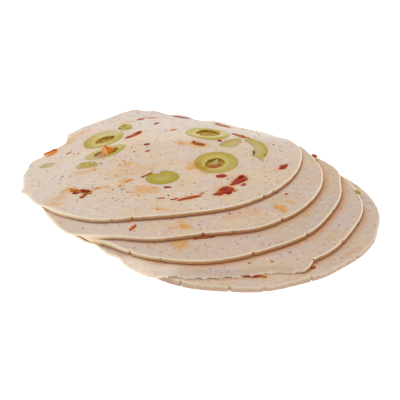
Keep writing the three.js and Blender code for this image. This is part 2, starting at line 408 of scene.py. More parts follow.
# %% Sizes of the pimento pieces
PIMENTO = {
    "pimento_1": dict(at=(31.6, -25.8), size=(10.2, 3.6), turn=58, taper=0.45, bend=-0.12, ragged=0.3),
    "pimento_2": dict(at=(26.4, -35.1), size=(8.6, 4.0), turn=55, taper=0.6, power=2.6, ragged=0.2),
    "pimento_3": dict(at=(25.5, -21.9), size=(4.0, 2.8), turn=24, power=2.6, ragged=0.15),
    "pimento_4": dict(at=(48.2, -13.8), size=(4.4, 2.5), turn=66, taper=0.3, ragged=0.25),
    "pimento_5": dict(at=(14.0, -40.9), size=(9.6, 2.0), turn=27, bend=0.05, ragged=0.15),
    "pimento_6": dict(at=(-7.9, 25.7), size=(11.2, 2.5), turn=59, bend=-0.04, ragged=0.25),
    "pimento_7": dict(at=(17.4, 7.7), size=(5.0, 2.6), turn=150, ragged=0.3),
    "pimento_8": dict(at=(-25.2, -34.6), size=(8.6, 2.6), turn=165, bend=0.3, ragged=0.3),
    "pimento_9": dict(at=(-38.7, 11.9), size=(6.6, 2.8), turn=63, ragged=0.2),
    "pimento_10": dict(at=(26.6, 40.5), size=(10.4, 2.2), turn=124, bend=0.05, ragged=0.15),
    "pimento_11": dict(at=(32.9, 17.9), size=(9.4, 2.6), turn=119, taper=-0.3, ragged=0.15),
    "pimento_12": dict(at=(8.7, -48.8), size=(7.8, 2.8), turn=168, ragged=0.3),
}
for number, sizes in enumerate(PIMENTO.values()):
    sizes["seed"] = 50 + 2 * number
print(len(PIMENTO), "pieces of pimento")

# %% Outline of a broken olive's arc
ARC_POINTS = 22
END_POINTS = 5
END_BULGE = 0.15
BELLY = 1.2  # a band is this much wider half way along


def arc_loop(span, grow=0.0, cracked=False):
    """A band along part of an oval, with rounded ends. The pocket is cracked at its inner side."""
    start, end, start_band, end_band = span
    turns = np.linspace(start, end, ARC_POINTS)
    along = (turns - start) / (end - start)
    band = start_band + (end_band - start_band) * along + BELLY * np.sin(np.pi * along)
    jagged = 1 + 0.5 * hills(turns / 9, turns * 0, 0.8, 37)
    band = band + cracked * CRACK_WIDTH * between(turns, CRACK_FROM, CRACK_TO, 12, 30) * jagged
    sides = []
    for inset in (0.0, band):
        x = (BROKEN_OLIVE["size"][0] / 2 - inset) * np.cos(np.radians(turns))
        y = (BROKEN_OLIVE["size"][1] / 2 - inset) * np.sin(np.radians(turns))
        sides.append(turned(BROKEN_OLIVE["at"], x, y, BROKEN_OLIVE["turn"]))
    outer, inner = sides
    ends = []
    for a, b in ((outer[-1], inner[-1]), (inner[0], outer[0])):
        part = np.linspace(0, 1, END_POINTS + 2)[1:-1, None]
        out = np.array([b[1] - a[1], a[0] - b[0]]) / np.linalg.norm(b - a)
        ends.append(a + (b - a) * part + END_BULGE * np.sin(np.pi * part) * out)
    loop = np.concatenate([outer, ends[0], inner[::-1], ends[1]])
    return grown(loop, grow) if grow else loop


for name, span in ARCS.items():
    print(name, "spans", np.ptp(arc_loop(span), axis=0).round(1), "mm")

# %% [markdown]
# ## Pockets in the meat
# The olives and the pimento were mixed into the raw meat, so the meat closes round them. Laying the pieces
# on the slice would look like toppings. Each piece gets a pocket of its own right through the slice, with a
# thin gap, and the meat's edge is rounded a little towards it.

# %% Outlines of the pockets, by slice
POCKET_GAP = 0.02
RING_SIDES = 64


def level_of(name):
    """All pieces are in the top slice, apart from one in the bottom slice."""
    return 0 if name == "pimento_12" else TOP


pockets = {level: {} for level in range(TOP + 1)}
for name, sizes in RINGS.items():
    pockets[TOP][name] = piece_loop(**sizes, sides=RING_SIDES, grow=POCKET_GAP)
for name, sizes in OLIVE_PIECES.items():
    pockets[TOP][name] = piece_loop(**sizes, grow=POCKET_GAP)
for name, span in ARCS.items():
    pockets[TOP][name] = arc_loop(span, grow=POCKET_GAP, cracked=True)
for name, sizes in PIMENTO.items():
    pockets[level_of(name)][name] = piece_loop(**sizes, grow=POCKET_GAP)
print("pockets in the top slice:", len(pockets[TOP]))

# %% [markdown]
# ## The rim of a slice
# Seen close, the rim is a cut through the casing: its upper edge is slightly rounded, the side is rough,
# and short cuts run in with a raised lip. The second slice has torn along its front, where it thins to a
# ragged film, and towards the left all the upper slices hang over as thin flaps. The rim is modelled as
# rows of points from the top edge round to the underside, which gives each of these its own few numbers.

# %% Angles of the rim's points
RIM_STEP = 0.8  # degrees between two points of the rim
TORN_STEP = 0.28  # and where it is torn
CUT_STEPS = (-1.5, -1.1, -0.75, -0.5, -0.25, 0, 0.25, 0.5, 0.75, 1.1, 1.5)  # and at a cut
TORN_LEVEL = 1
TORN_FROM, TORN_TO = 246.0, 303.0


def rim_degrees(level):
    """Even steps, finer at the cuts and along the torn stretch."""
    marks = list(np.arange(0, 360, RIM_STEP))
    for cut in SLICES[level]["cuts"]:
        marks = [m for m in marks if abs(m - cut) > 1.6]
        marks += [cut + off for off in CUT_STEPS]
    if level == TORN_LEVEL:
        marks = [m for m in marks if not TORN_FROM < m < TORN_TO]
        marks += list(np.arange(TORN_FROM, TORN_TO, TORN_STEP))
    return np.unique(np.round(marks, 4))


def torn_share(bearing):
    """1 along the torn stretch of the rim."""
    return between(bearing, TORN_FROM, TORN_TO, 4, 4)


for level in range(TOP + 1):
    print("slice", level + 1, "rim points:", len(rim_degrees(level)))

# %% How far the rim runs in
CUT_HALF_ANGLE = 0.6
CUT_DEPTH = 1.15
TOOTH_DEPTH = 1.1
TUCKED_FROM, TUCKED_TO = 182.0, 243.0  # the bottom rim keeps back here, under the flap that lies on it
TUCKED_IN = 4.5


def along_rim(degrees, width, seed):
    """Hills along the rim, their width in degrees."""
    return hills(degrees, degrees * 0, width, seed)


def cut_in(level, degrees):
    """How far the cuts, the torn teeth and small chips run in at each angle."""
    way = 0.12 * np.clip(along_rim(degrees, 2.3, 70 + level), 0, 1)
    way = way + 0.03 * along_rim(degrees, 1.7, 75 + level)
    if level == 0:
        way = way + TUCKED_IN * between(degrees, TUCKED_FROM, TUCKED_TO, 16, 8)
    for number, cut in enumerate(SLICES[level]["cuts"]):
        deep = CUT_DEPTH * (0.75 + 0.35 * math.sin(2.3 * number + level))
        lean = 0.25 * math.sin(1.7 * number + 2 * level)
        off = np.abs(degrees - cut - lean)
        way = way + deep * np.clip(1 - off / CUT_HALF_ANGLE, 0, 1) ** 0.8
    if level == TORN_LEVEL:
        teeth = np.abs(along_rim(degrees, 1.9, 80)) + 0.6 * np.abs(along_rim(degrees, 0.7, 81))
        way = way + torn_share(degrees) * TOOTH_DEPTH * teeth
    return way


print("the top slice's rim runs in by up to", cut_in(TOP, rim_degrees(TOP)).max().round(2), "mm")

# %% Where the rim is thin, and where it is in shade
THIN_RIMS = [  # slice, from angle, to angle, fade, share of the thickness left, width, and from which face
    (1, 246.0, 306.0, 8.0, 0.2, 5.0, "top"),
    (1, 200.0, 264.0, 18.0, 0.1, 6.0, "underside"),
    (2, 196.0, 234.0, 8.0, 0.15, 6.0, "underside"),
    (3, 190.0, 246.0, 10.0, 0.08, 6.0, "underside"),
    (4, 182.0, 238.0, 14.0, 0.08, 7.0, "underside"),
]
THIN_RISE = 8  # a thin stretch sets in over this many degrees
LEFT_LIGHT = 0.55


def thinned(level, degrees, edge, face):
    """The share of the thickness that is gone at a face, by the angle and the distance from the rim."""
    gone = np.zeros(np.shape(degrees))
    for on, start, end, fade, left, width, at_face in THIN_RIMS:
        if on == level and at_face == face:
            stretch = between(degrees, start, end, THIN_RISE, fade)
            gone = gone + stretch * (1 - left) * ease(-edge, -width, -0.3)
    return gone


def shade_of(bearing):
    """The light comes from behind, so rims and gaps are darkest at the front and the right."""
    return 1 - LEFT_LIGHT * ease(bearing, 120, 150) * (1 - ease(bearing, 240, 285))


print(len(THIN_RIMS), "thin stretches of rim")

# %% [markdown]
# ## Pits
# The cooked meat has small holes where air was trapped. A dark dot in the texture looks flat when light
# comes from the side, so the larger pits are real dents: a few rings of points round each, pushed down in
# the middle. Their colour is darkened as well, as painted shade.

# %% Pits: those that stand out, and a seeded scatter of small ones
PITS = {
    4: [(-13.5, -33.5, 0.6), (-10.2, -33.3, 0.65), (-8.2, -35.7, 0.55)],
    1: [(27.9, -38.7, 0.55), (21.7, -45.2, 0.6), (13.8, -46.7, 0.6)],
}
SMALL_PITS = 60
PIT_FROM_POCKET = 1.6
PIT_FROM_PIT = 3.0


def pits_of(level):
    draw = np.random.default_rng(900 + level)
    pits = list(PITS.get(level, []))
    while len(pits) < SMALL_PITS:
        reach = (LOAF_RADIUS - 5) * math.sqrt(draw.uniform())
        angle = draw.uniform(0, 2 * math.pi)
        x, y = reach * math.cos(angle), reach * math.sin(angle)
        size = draw.uniform(0.25, 0.5)
        clear = all(np.hypot(*(loop - (x, y)).T).min() > PIT_FROM_POCKET for loop in pockets[level].values())
        apart = all(math.hypot(x - a, y - b) > PIT_FROM_PIT for a, b, _ in pits)
        if clear and apart:
            pits.append((x, y, size))
    return np.array(pits)


print("pits in the top slice:", len(pits_of(TOP)))

# %% [markdown]
# ## The body of a slice
# The top and bottom faces are nets of triangles: a lattice of points, shaken a little, tied to the outlines
# of the rim and the pockets by a constrained triangulation. A subdivided circle would waste its points
# where other slices hide it, while this net is fine where the eye can reach and coarse elsewhere.

# %% Points of a face
FINE = 1.1
COARSE = 3.6


def lattice(level, spacing, keep):
    """A shaken triangular lattice over a slice, as far as keep says."""
    reach = LOAF_RADIUS + 10
    rows = np.arange(-reach, reach, spacing * math.sqrt(0.75))
    columns = np.arange(-reach, reach, spacing)
    x, y = np.meshgrid(columns, rows)
    x = x + (np.arange(len(rows)) % 2)[:, None] * spacing / 2
    draw = np.random.default_rng(300 + level)
    x = x + draw.uniform(-0.15, 0.15, x.shape) * spacing
    y = y + draw.uniform(-0.15, 0.15, y.shape) * spacing
    points = np.stack([x.ravel(), y.ravel()], axis=1)
    return points[keep(points)]


def distance_to(points, loop):
    """How far each point is from the nearest point of a loop."""
    nearest = np.full(len(points), np.inf)
    for part in np.array_split(loop, max(1, len(loop) // 64)):
        apart = np.hypot(*(points[:, None, :] - part[None, :, :]).transpose(2, 0, 1))
        nearest = np.minimum(nearest, apart.min(axis=1))
    return nearest


def inside_loop(points, loop):
    """Which points are inside a closed loop."""
    x, y = points[:, 0, None], points[:, 1, None]
    ax, ay = loop[:, 0], loop[:, 1]
    bx, by = np.roll(ax, -1), np.roll(ay, -1)
    rising = (ay > y) != (by > y)
    with np.errstate(divide="ignore", invalid="ignore"):
        crossing = x < (bx - ax) * (y - ay) / (by - ay) + ax
    return (rising & crossing).sum(axis=1) % 2 == 1


def triangulate(points, loops):
    """Triangles between loops that hold the numbers of points: the outer one first, then the holes."""
    edges = []
    for loop in loops:
        edges += list(zip(loop.tolist(), np.roll(loop, -1).tolist()))
    flat, _, faces, origins, _, _ = delaunay_2d_cdt([Vector(p) for p in points], edges, [], 0, 1e-7, True)
    crossed = [tuple(round(v, 1) for v in p) for p, o in zip(flat, origins) if not o]
    if crossed:
        print("outlines cross at", crossed)
    first = np.array([o[0] if o else -1 for o in origins])
    faces = first[np.array(faces)]
    middle = points[faces].mean(axis=1)
    keep = inside_loop(middle, points[loops[0]])
    for loop in loops[1:]:
        keep &= ~inside_loop(middle, points[loop])
    return faces[keep]


print("a face's lattice is", FINE, "mm where it shows and", COARSE, "mm where it is covered")

# %% Height of the top face
LIP_HEIGHT = 0.14
PIT_DEPTH = 0.9  # as a share of the pit's size
REST_RISE = 0.28  # a slice swells this much where another lies on it, so that the two touch
RIM_RISE = 0.24  # and this much more along that one's rim, whose lower edge has drawn up


def placed(level, local, z):
    """Places counted from the middle of a slice, with a height, in the model's frame."""
    return np.column_stack([local + MIDDLES[level], z])


def swell(level, x, y):
    """How far a slice's top face comes up at the slice that lies on it."""
    if level == TOP:
        return 0.0
    outside = -depth_inside(level + 1, x, y)
    return REST_RISE * (1 - ease(outside, 0.5, 8)) + RIM_RISE * (1 - ease(np.abs(outside), 0.3, 5))


def top_height(level, local, pits=()):
    """Height of the top face over places counted from the middle of the slice."""
    x, y = (local + CENTRES[level]).T
    degrees = bearing_of(local)
    edge = depth_inside(level, x, y)
    thick = THICKNESS * (1 - thinned(level, degrees, edge, "top"))
    z = underside(level, x, y) + thick + waves(level, x, y) + swell(level, x, y)
    z = z + 0.03 * hills(x, y, 2.1, 7 + level) + 0.015 * hills(x, y, 0.9, 17 + level)
    for cut in SLICES[level]["cuts"]:
        beside = (degrees - cut) * math.pi / 180 * LOAF_RADIUS
        lip = np.exp(-((np.abs(beside) - 0.8) ** 2) / 0.5) * np.exp(-((edge - 0.9) ** 2) / 1.6)
        z = z + LIP_HEIGHT * lip
    for px, py, size in pits:
        away = np.hypot(local[:, 0] - px, local[:, 1] - py) / size
        z = z - PIT_DEPTH * size * (1 - ease(away, 0.35, 1.15))
    return z


def on_face(level, local, lift=0.0):
    """Points on a slice's top face, or a little over it."""
    return placed(level, local, top_height(level, local) + lift)


print("lip of a cut:", LIP_HEIGHT, "mm")

# %% Height of the underside
KEPT_THICK = 0.6  # where a thin rim lies on a slice, this share of what it lost is left, so that no gap opens


def low_height(level, local):
    """Height of the underside over places counted from the middle of the slice."""
    x, y = (local + CENTRES[level]).T
    bearing = bearing_of(local)
    edge = depth_inside(level, x, y)
    lift = thinned(level, bearing, edge, "underside") * (1 - thinned(level, bearing, edge, "top"))
    if level > 0:
        lift = lift * (1 - KEPT_THICK * ease(depth_inside(level - 1, x, y), -0.5, 2))
    drawn_up = RIM_RISE * (level > 0) * ease(-edge, -4.5, -0.3)
    z = underside(level, x, y) + waves(level, x, y) + drawn_up * (1 - lift) + THICKNESS * lift
    return np.maximum(z, 0.0)


print("underside of the top slice's middle:", low_height(TOP, np.zeros((1, 2))).round(2)[0], "mm up")

# %% [markdown]
# ## The rows of the rim
# The rim is a wall that closes on itself, so it is made of rows of points, each joined to the next. A bevel
# on a flat disc would give the same rounded edge all round, while rows can be rough, brown and thin in
# their own places. How tan the wall is, with painted shade that makes it browner at the front, the right and
# its foot, goes in as a painted value: a thin rim lets the light through and looks pale.

# %% Rows of the rim
RIM_ROWS = [(0.32, -0.03), (0.13, -0.11), (0.03, -0.28), (0.0, -0.55)]  # how far in, and how far down
WALL_ROWS = (0.45, 0.7, 0.9)  # shares of the way down
WALL_OUT = 0.03
LOW_INSET = 0.12


def wall_tan_and_shade(level, degrees, first):
    """How tan the wall is at each angle, with painted shade that makes it browner over a slice and away from
    the left. Past the slice below, the pale floor lights it.
    """
    at_rim = np.zeros(len(degrees))
    thin = np.maximum(thinned(level, degrees, at_rim, "top"), thinned(level, degrees, at_rim, "underside"))
    brown = 1 - 0.95 * thin
    if level > 0:
        over_slice = ease(local_depth(level - 1, level, first), -2, 1)
        # painted shade: the wall is browner over a slice and away from the left
        brown = brown * (0.35 + 0.65 * over_slice) * shade_of(degrees)
    return brown


def add_rim(shell, level, degrees, radius, pits):
    """Adds the rows of the rim, from the top edge round to the underside."""
    way = np.stack([np.cos(np.radians(degrees)), np.sin(np.radians(degrees))], axis=1)

    def rim_loop(inset):
        return way * (radius - inset)[:, None]

    def rough(row):
        return hills(degrees * 0.6, degrees * 0 + row, 1.0, 40 + level)

    first, last = rim_loop(RIM_ROWS[0][0]), rim_loop(LOW_INSET)
    high, low = top_height(level, first, pits), low_height(level, last)
    # the side paint carries the wall's tan and its painted shade
    brown = wall_tan_and_shade(level, degrees, first)
    rows = []
    for number, (inset, drop) in enumerate(RIM_ROWS):
        points = rim_loop(inset + 0.03 * rough(number) * (number > 0))
        z = high + drop * (high - low) / THICKNESS
        rows.append(shell.add(placed(level, points, z), edge=inset, side=0.12 * number * brown))
    for number, part in enumerate(WALL_ROWS):
        points = rim_loop(0.04 * rough(5 + number) - WALL_OUT + 2 * WALL_OUT * (number == 2))
        rows.append(shell.add(placed(level, points, high + (low - high) * part), side=part * brown))
    rows.append(shell.add(placed(level, last, low), side=brown))
    shell.strip(rows[::-1])
    return rows


print("rows of a rim:", len(RIM_ROWS) + len(WALL_ROWS) + 1)

# %% Rows of the pockets
POCKET_ROWS = [(0.2, 0.0), (0.05, -0.01), (0.0, -0.1)]  # how far out, and how far down
FAR_FROM_SKIN = 9.0  # the painted distance to the skin, where there is none near


def add_pockets(shell, level, pits):
    """Adds each pocket, with a rounded edge and a plain wall, and gives back its two end loops."""
    tops, lows = [], []
    for loop in pockets[level].values():
        edge_z = top_height(level, grown(loop, POCKET_ROWS[0][0]), pits)
        rows = []
        for grow, drop in POCKET_ROWS:
            rows.append(shell.add(placed(level, grown(loop, grow), edge_z + drop), edge=FAR_FROM_SKIN))
        rows.append(shell.add(placed(level, loop, low_height(level, loop)), edge=FAR_FROM_SKIN))
        shell.strip(rows)
        tops.append(rows[0])
        lows.append(rows[-1])
    return tops, lows


print("rows of a pocket:", len(POCKET_ROWS) + 1)

# %% Points of the two faces
COVERED_DEPTH = 4.0  # this far inside the rim of the slice above, nothing shows
PIT_RINGS = ((0.45, 6), (0.85, 9), (1.3, 11))  # reach in pit sizes, and how many points


def pit_points(pits):
    rings = []
    for x, y, size in pits:
        rings.append([(x, y)])
        for reach, count in PIT_RINGS:
            turn = np.arange(count) * 2 * np.pi / count + reach
            rings.append(np.stack([x + reach * size * np.cos(turn), y + reach * size * np.sin(turn)], axis=1))
    return np.concatenate(rings)


def face_points(level, degrees, radius, pits):
    """Points of the top face, fine where it shows, and of the underside."""

    def covered(points):
        if level == TOP:
            return np.zeros(len(points), bool)
        return local_depth(level + 1, level, points) > COVERED_DEPTH

    def clear(points, spacing):
        edge = np.interp(bearing_of(points), degrees, radius, period=360) - np.hypot(*points.T)
        good = edge > RIM_ROWS[0][0] + 0.5 * spacing
        for loop in pockets[level].values():
            good &= (distance_to(points, loop) > 0.3 + 0.5 * spacing) & ~inside_loop(points, loop)
        return good

    def off_pits(points):
        good = np.ones(len(points), bool)
        for x, y, size in pits:
            good &= np.hypot(points[:, 0] - x, points[:, 1] - y) > PIT_RINGS[-1][0] * size + 0.35
        return good

    fine = lattice(level, FINE, lambda p: clear(p, FINE) & ~covered(p) & off_pits(p))
    dents = pit_points(pits)
    dents = dents[clear(dents, 0.2)]
    hidden = lattice(level, COARSE, lambda p: clear(p, COARSE) & covered(p) & off_pits(p))
    return np.concatenate([fine, dents, hidden]), lattice(level, COARSE, lambda p: clear(p, COARSE))


print("points round a pit:", sum(count for _, count in PIT_RINGS))

# %% A whole slice
def gap_shade_below(level, local):
    """The underside gets the wall's painted shade only near its rim and over a slice, where it is seen in the
    gap.
    """
    if level == 0:
        return np.zeros(len(local))
    near_rim = 1 - ease(local_depth(level, level, local), 3, 6)
    return 0.8 * near_rim * ease(local_depth(level - 1, level, local), -1, 1)


def make_slice(level):
    shell = Shell()
    degrees = rim_degrees(level)
    radius = rim_radius(level, degrees) - cut_in(level, degrees)
    pits = pits_of(level)
    rim = add_rim(shell, level, degrees, radius, pits)
    tops, lows = add_pockets(shell, level, pits)
    tied = np.concatenate(shell.points)[:, :2] - MIDDLES[level]
    high, low = face_points(level, degrees, radius, pits)
    skin_depth = np.maximum(local_depth(level, level, high), 0.3)
    own_high = shell.add(placed(level, high, top_height(level, high, pits)), edge=skin_depth)
    low_place = placed(level, low, low_height(level, low))
    own_low = shell.add(low_place, edge=FAR_FROM_SKIN, side=gap_shade_below(level, low))
    flat = np.concatenate([tied, high, low])
    for loops, own, order in (([rim[0]] + tops, own_high, 1), ([rim[-1]] + lows, own_low, -1)):
        used = np.concatenate(loops + [own])
        starts = np.cumsum([0] + [len(loop) for loop in loops])
        tied_loops = [np.arange(a, b) for a, b in zip(starts[:-1], starts[1:])]
        faces = used[triangulate(flat[used], tied_loops)]
        shell.faces.extend(faces[:, ::order].tolist())
    return shell, pits


print("a slice is ready to be made")

# %% [markdown]
# ## Oil stains
# Oil from the pimento has soaked into the meat: soft orange clouds, and a halo round each red piece. They
# belong to the colour and not to the shape, but they sit in definite places, so their strength is painted
# onto the points of each slice and the finish reads it from there. An image would have to be drawn and
# unwrapped.

# %% Stains: slice, middle, long x short, turn, strength
STAINS = [
    (4, (-1.9, -34.0), (11.6, 7.4), 2, 0.65),
    (4, (-5.6, -36.6), (4.0, 2.0), 340, 0.8),
    (4, (-8.5, -17.0), (24.0, 9.0), 20, 0.28),
    (4, (-9.0, -11.5), (6.0, 5.0), 20, 0.6),
    (4, (-6.5, -20.0), (9.0, 2.2), 10, 0.6),
    (4, (-9.0, -26.0), (6.0, 6.0), 60, 0.6),
    (4, (-10.5, -30.0), (5.0, 1.6), 60, 0.7),
    (4, (11.3, 8.5), (7.4, 3.6), 150, 0.85),
    (4, (15.9, 5.5), (7.0, 2.2), 345, 0.7),
    (4, (16.2, -13.0), (6.4, 9.4), 160, 1.0),
    (4, (20.8, -18.6), (9.0, 3.0), 8, 0.8),
    (4, (-26.4, -18.9), (15.0, 2.4), 24, 0.6),
    (4, (-27.0, -17.3), (2.6, 1.4), 30, 0.9),
    (4, (-21.0, -15.6), (4.0, 1.6), 10, 0.7),
    (4, (-32.0, -37.6), (8.0, 7.0), 30, 0.45),
    (4, (-33.6, -42.0), (12.0, 5.0), 320, 0.5),
    (4, (-28.0, 36.3), (16.0, 3.0), 62, 0.65),
    (4, (-33.0, 23.7), (14.0, 4.0), 70, 0.65),
    (4, (-40.0, 17.6), (5.0, 3.0), 60, 0.8),
    (4, (-11.9, 46.4), (12.0, 4.0), 40, 0.5),
    (4, (-5.1, 11.9), (10.0, 7.0), 30, 0.2),
    (4, (5.2, -50.5), (9.0, 3.0), 350, 0.6),
    (4, (12.0, -28.0), (7.0, 6.0), 30, 0.25),
    (4, (-17.6, -32.0), (6.0, 2.6), 20, 0.6),
    (4, (-30.6, -33.8), (5.0, 3.6), 40, 0.9),
    (3, (5.3, -46.4), (6.6, 4.4), 330, 1.0),
    (3, (4.0, -42.4), (6.0, 4.0), 60, 0.6),
    (3, (39.0, -30.6), (7.6, 5.4), 130, 1.0),
    (3, (43.0, -26.0), (6.0, 3.0), 130, 0.6),
    (3, (26.0, -36.0), (18.0, 8.0), 30, 0.28),
    (3, (2.0, -47.6), (7.0, 1.6), 345, 0.6),
    (3, (-47.0, -24.0), (12.0, 2.6), 306, 1.0),
    (3, (-14.5, -43.5), (3.0, 2.0), 20, 0.6),
    (3, (-30.0, -38.0), (20.0, 10.0), 330, 0.3),
    (2, (-2.7, -46.6), (7.2, 6.6), 20, 0.75),
    (2, (-2.3, -50.2), (2.2, 2.2), 0, 0.8),
    (2, (40.0, -20.0), (14.0, 8.0), 60, 0.35),
    (1, (-20.0, -46.0), (12.0, 3.0), 330, 0.5),
    (1, (44.0, -24.0), (14.0, 8.0), 50, 0.2),
    (0, (44.0, -31.0), (12.0, 4.0), 60, 0.35),
    (0, (8.7, -49.4), (13.0, 4.6), 172, 0.6),
]
HALO_REACH = 0.8
HALOS = {name: 0.45 for name in PIMENTO}
HALOS.update({"pimento_1": 0.9, "pimento_2": 1.0, "pimento_7": 1.0, "pimento_8": 0.9, "pimento_9": 0.6})


def oil(level, local):
    """Strength of the orange stain over places counted from the middle of the slice."""
    x, y = local.T
    total = np.zeros(len(local))
    broken = 0.35 * hills(x + 80, y + 80, 2.4, 110 + level) + 0.2 * hills(x + 80, y + 80, 0.9, 120 + level)
    for on, at, size, turn, strength in STAINS:
        if on == level:
            c, s = math.cos(math.radians(turn)), math.sin(math.radians(turn))
            along = ((x - at[0]) * c + (y - at[1]) * s) / (size[0] / 2)
            across = (-(x - at[0]) * s + (y - at[1]) * c) / (size[1] / 2)
            total = np.maximum(total, strength * (1 - ease(np.hypot(along, across) + broken, 0.45, 1.2)))
    for name, loop in pockets[level].items():
        if name in HALOS:
            halo = HALOS[name] * np.exp(-distance_to(local, loop) / HALO_REACH)
            total = np.maximum(total, halo * (1 + broken))
    return np.clip(total, 0, 1)


print(len(STAINS), "stains")

# %% Paint a face: oil, painted shade in pits, painted sheen towards the rear and left, painted shade at the right, and damp
SHEEN_REAR = [0.0, 0.1, 0.0, 0.15, 0.95]  # how far painted sheen pales each slice towards its rear, and towards its left
SHEEN_LEFT = [0.0, 0.7, 0.3, 0.5, 0.75]
SHADE_RIGHT = [1.3, 0.9, 0.9, 0.8, 0.35]  # painted shade: the lower slices are darker at the right
DAMP_REACH = 0.7


def paint_face(shell, level, local, pits):
    x, y = local.T
    shell.paints["oil"] = [oil(level, local)]
    # painted shade in each pit
    dark = np.zeros(len(local))
    for px, py, size in pits:
        dark = np.maximum(dark, 1 - ease(np.hypot(x - px, y - py) / size, 0.5, 1.25))
    shell.paints["pit"] = [dark]
    # painted sheen: paler towards the rear and the left, a little uneven
    pale = SHEEN_REAR[level] * ease(y + 0.35 * x, 0, 55) + SHEEN_LEFT[level] * ease(-x - 0.3 * y, 12, 50)
    patchy = 0.12 * hills(x, y, 9, 130 + level)
    shell.paints["painted_sheen"] = [np.clip(pale + patchy * (pale > 0.05), 0, 1)]
    # painted shade at the right
    shell.paints["dim"] = [SHADE_RIGHT[level] * ease(x + 0.3 * y, 4, 30)]
    damp = np.zeros(len(local))
    for name, loop in pockets[level].items():
        if name not in PIMENTO:
            damp = np.maximum(damp, np.exp(-distance_to(local, loop) / DAMP_REACH))
    shell.paints["damp"] = [damp]


print("painted on each face: oil, pit, bloom, dim, damp")

# %% Paint shade in the gap under the next slice's rim
CREVICE_WIDTHS = [3.4, 3.2, 2.8, 1.3]  # painted shade: the meat is browner just outside the rim that lies on it
CREVICE_STRENGTHS = [0.6, 0.95, 0.8, 0.4]


def paint_crevice_shade(shell, level, local):
    outside = -local_depth(level + 1, level, local)
    bearing = bearing_of(local + CENTRES[level] - CENTRES[level + 1])
    right = 1.0 if level > 0 else 0.35 + 0.65 * ease(bearing, 285, 325)
    # painted shade just outside the rim, weaker on the left where the light comes in, and full painted shade
    # under it
    near = (1 - ease(outside / (CREVICE_WIDTHS[level] * right), 0.1, 1)) * shade_of(bearing)
    shade_under_rim = right * (1 - ease(outside, -0.9, 0.15))
    shell.paints["crevice_shade"] = [np.maximum(CREVICE_STRENGTHS[level] * near, shade_under_rim)]
    if level == TORN_LEVEL - 1:
        # a painted shadow line under the torn edge of the slice above, put in with the pits' painted shade
        shadow_under_torn = 0.3 * torn_share(bearing) * (1 - ease(outside, -0.2, 0.5))
        shell.paints["pit"] = [np.maximum(shell.paints["pit"][0], shadow_under_torn)]


print("painted beside a rim: crevice")

# %% Paint the torn edge, where the meat thins to a pale film and shows no skin
FILM_FROM, FILM_TO, FILM_WIDTH = 234.0, 262.0, 9.0
TORN_FILM = 0.7


def paint_torn_edge(shell, level, local):
    edge = local_depth(level, level, local)
    bearing = bearing_of(local)
    torn = torn_share(bearing)
    flap = between(bearing, FILM_FROM, FILM_TO, 5, 8) * ease(-edge, -FILM_WIDTH, -3)
    shell.paints["film"] = [np.maximum(flap, TORN_FILM * torn * ease(-edge, -1.8, -0.9))]
    shell.paints["edge"] = [np.concatenate(shell.paints["edge"]) + 2 * torn]


print("painted along the tear: film, edge")

# %% [markdown]
# ## Wiring finishes by short calls
# Every finish below is a tree of shader nodes. Nodes can be placed by hand in the shader editor, but the
# same few kinds come back all the time: noise, specks, a painted value, a blend of two colours. A small
# helper class names these, so that a finish reads like a recipe.

# %% The finish helper
class Finish:
    def __init__(self, name):
        self.material = bpy.data.materials.new(name)
        self.material.use_nodes = True
        self.tree = self.material.node_tree
        self.shader = self.tree.nodes["Principled BSDF"]

    def node(self, kind, inputs, **settings):
        made = self.tree.nodes.new(kind)
        for name, value in settings.items():
            setattr(made, name, value)
        for key, value in inputs.items():
            self.put(made.inputs[key], value)
        return made

    def put(self, socket, value):
        if isinstance(value, bpy.types.NodeSocket):
            self.tree.links.new(value, socket)
        elif isinstance(value, tuple) and len(value) == 3 and socket.type == "RGBA":
            socket.default_value = (*value, 1)
        else:
            socket.default_value = value

    def paint(self, name):
        return self.node("ShaderNodeAttribute", {}, attribute_name=name).outputs["Fac"]

    def place(self):
        """Places in millimetres."""
        where = self.node("ShaderNodeTexCoord", {}).outputs["Object"]
        return self.node("ShaderNodeVectorMath", {0: where, "Scale": 1 / MM}, operation="SCALE").outputs[0]

    def vector(self, what, a, b):
        return self.node("ShaderNodeVectorMath", {0: a, 1: b}, operation=what).outputs[0]

    def noise(self, where, width, detail=2.0, rough=0.5):
        inputs = {"Vector": where, "Scale": 1 / width, "Detail": detail, "Roughness": rough}
        return self.node("ShaderNodeTexNoise", inputs).outputs["Fac"]

    def sockets(self, values):
        """Sets the shader's own sockets, each to a number, a colour or the end of a chain of nodes."""
        for name, value in values.items():
            self.put(self.shader.inputs[name], value)

    def math(self, what, a, b=0.0, clamp=False):
        return self.node("ShaderNodeMath", {0: a, 1: b}, operation=what, use_clamp=clamp).outputs[0]

    def ramp(self, value, start, end, low=0.0, high=1.0):
        inputs = {"Value": value, "From Min": start, "From Max": end, "To Min": low, "To Max": high}
        return self.node("ShaderNodeMapRange", inputs, interpolation_type="SMOOTHSTEP").outputs["Result"]

    def mix(self, share, a, b, how="MIX"):
        made = self.node("ShaderNodeMix", {0: share, 6: a, 7: b}, data_type="RGBA", blend_type=how)
        return made.outputs[2]

    def specks(self, where, spacing, share, size):
        """1 inside small specks. Of the cells of a foam, a share hold one, up to size across."""
        cells = self.node("ShaderNodeTexVoronoi", {"Vector": where, "Scale": 1 / spacing})
        parts = self.node("ShaderNodeSeparateColor", {0: cells.outputs["Color"]})
        held = self.math("LESS_THAN", parts.outputs[0], share)
        reach = size / spacing / 4
        sizes = {0: parts.outputs[1], 1: reach, 2: reach}
        limit = self.node("ShaderNodeMath", sizes, operation="MULTIPLY_ADD").outputs[0]
        inside = self.math("DIVIDE", cells.outputs["Distance"], limit)
        soft = self.ramp(inside, 0.6, 1.2, 1.0, 0.0)
        return self.math("MULTIPLY", held, soft)

    def bump(self, height, deep):
        """A bump from a height between 0 and 1, this many millimetres deep."""
        return self.node("ShaderNodeBump", {"Height": height, "Distance": deep * MM}).outputs["Normal"]


print("finish helper ready")
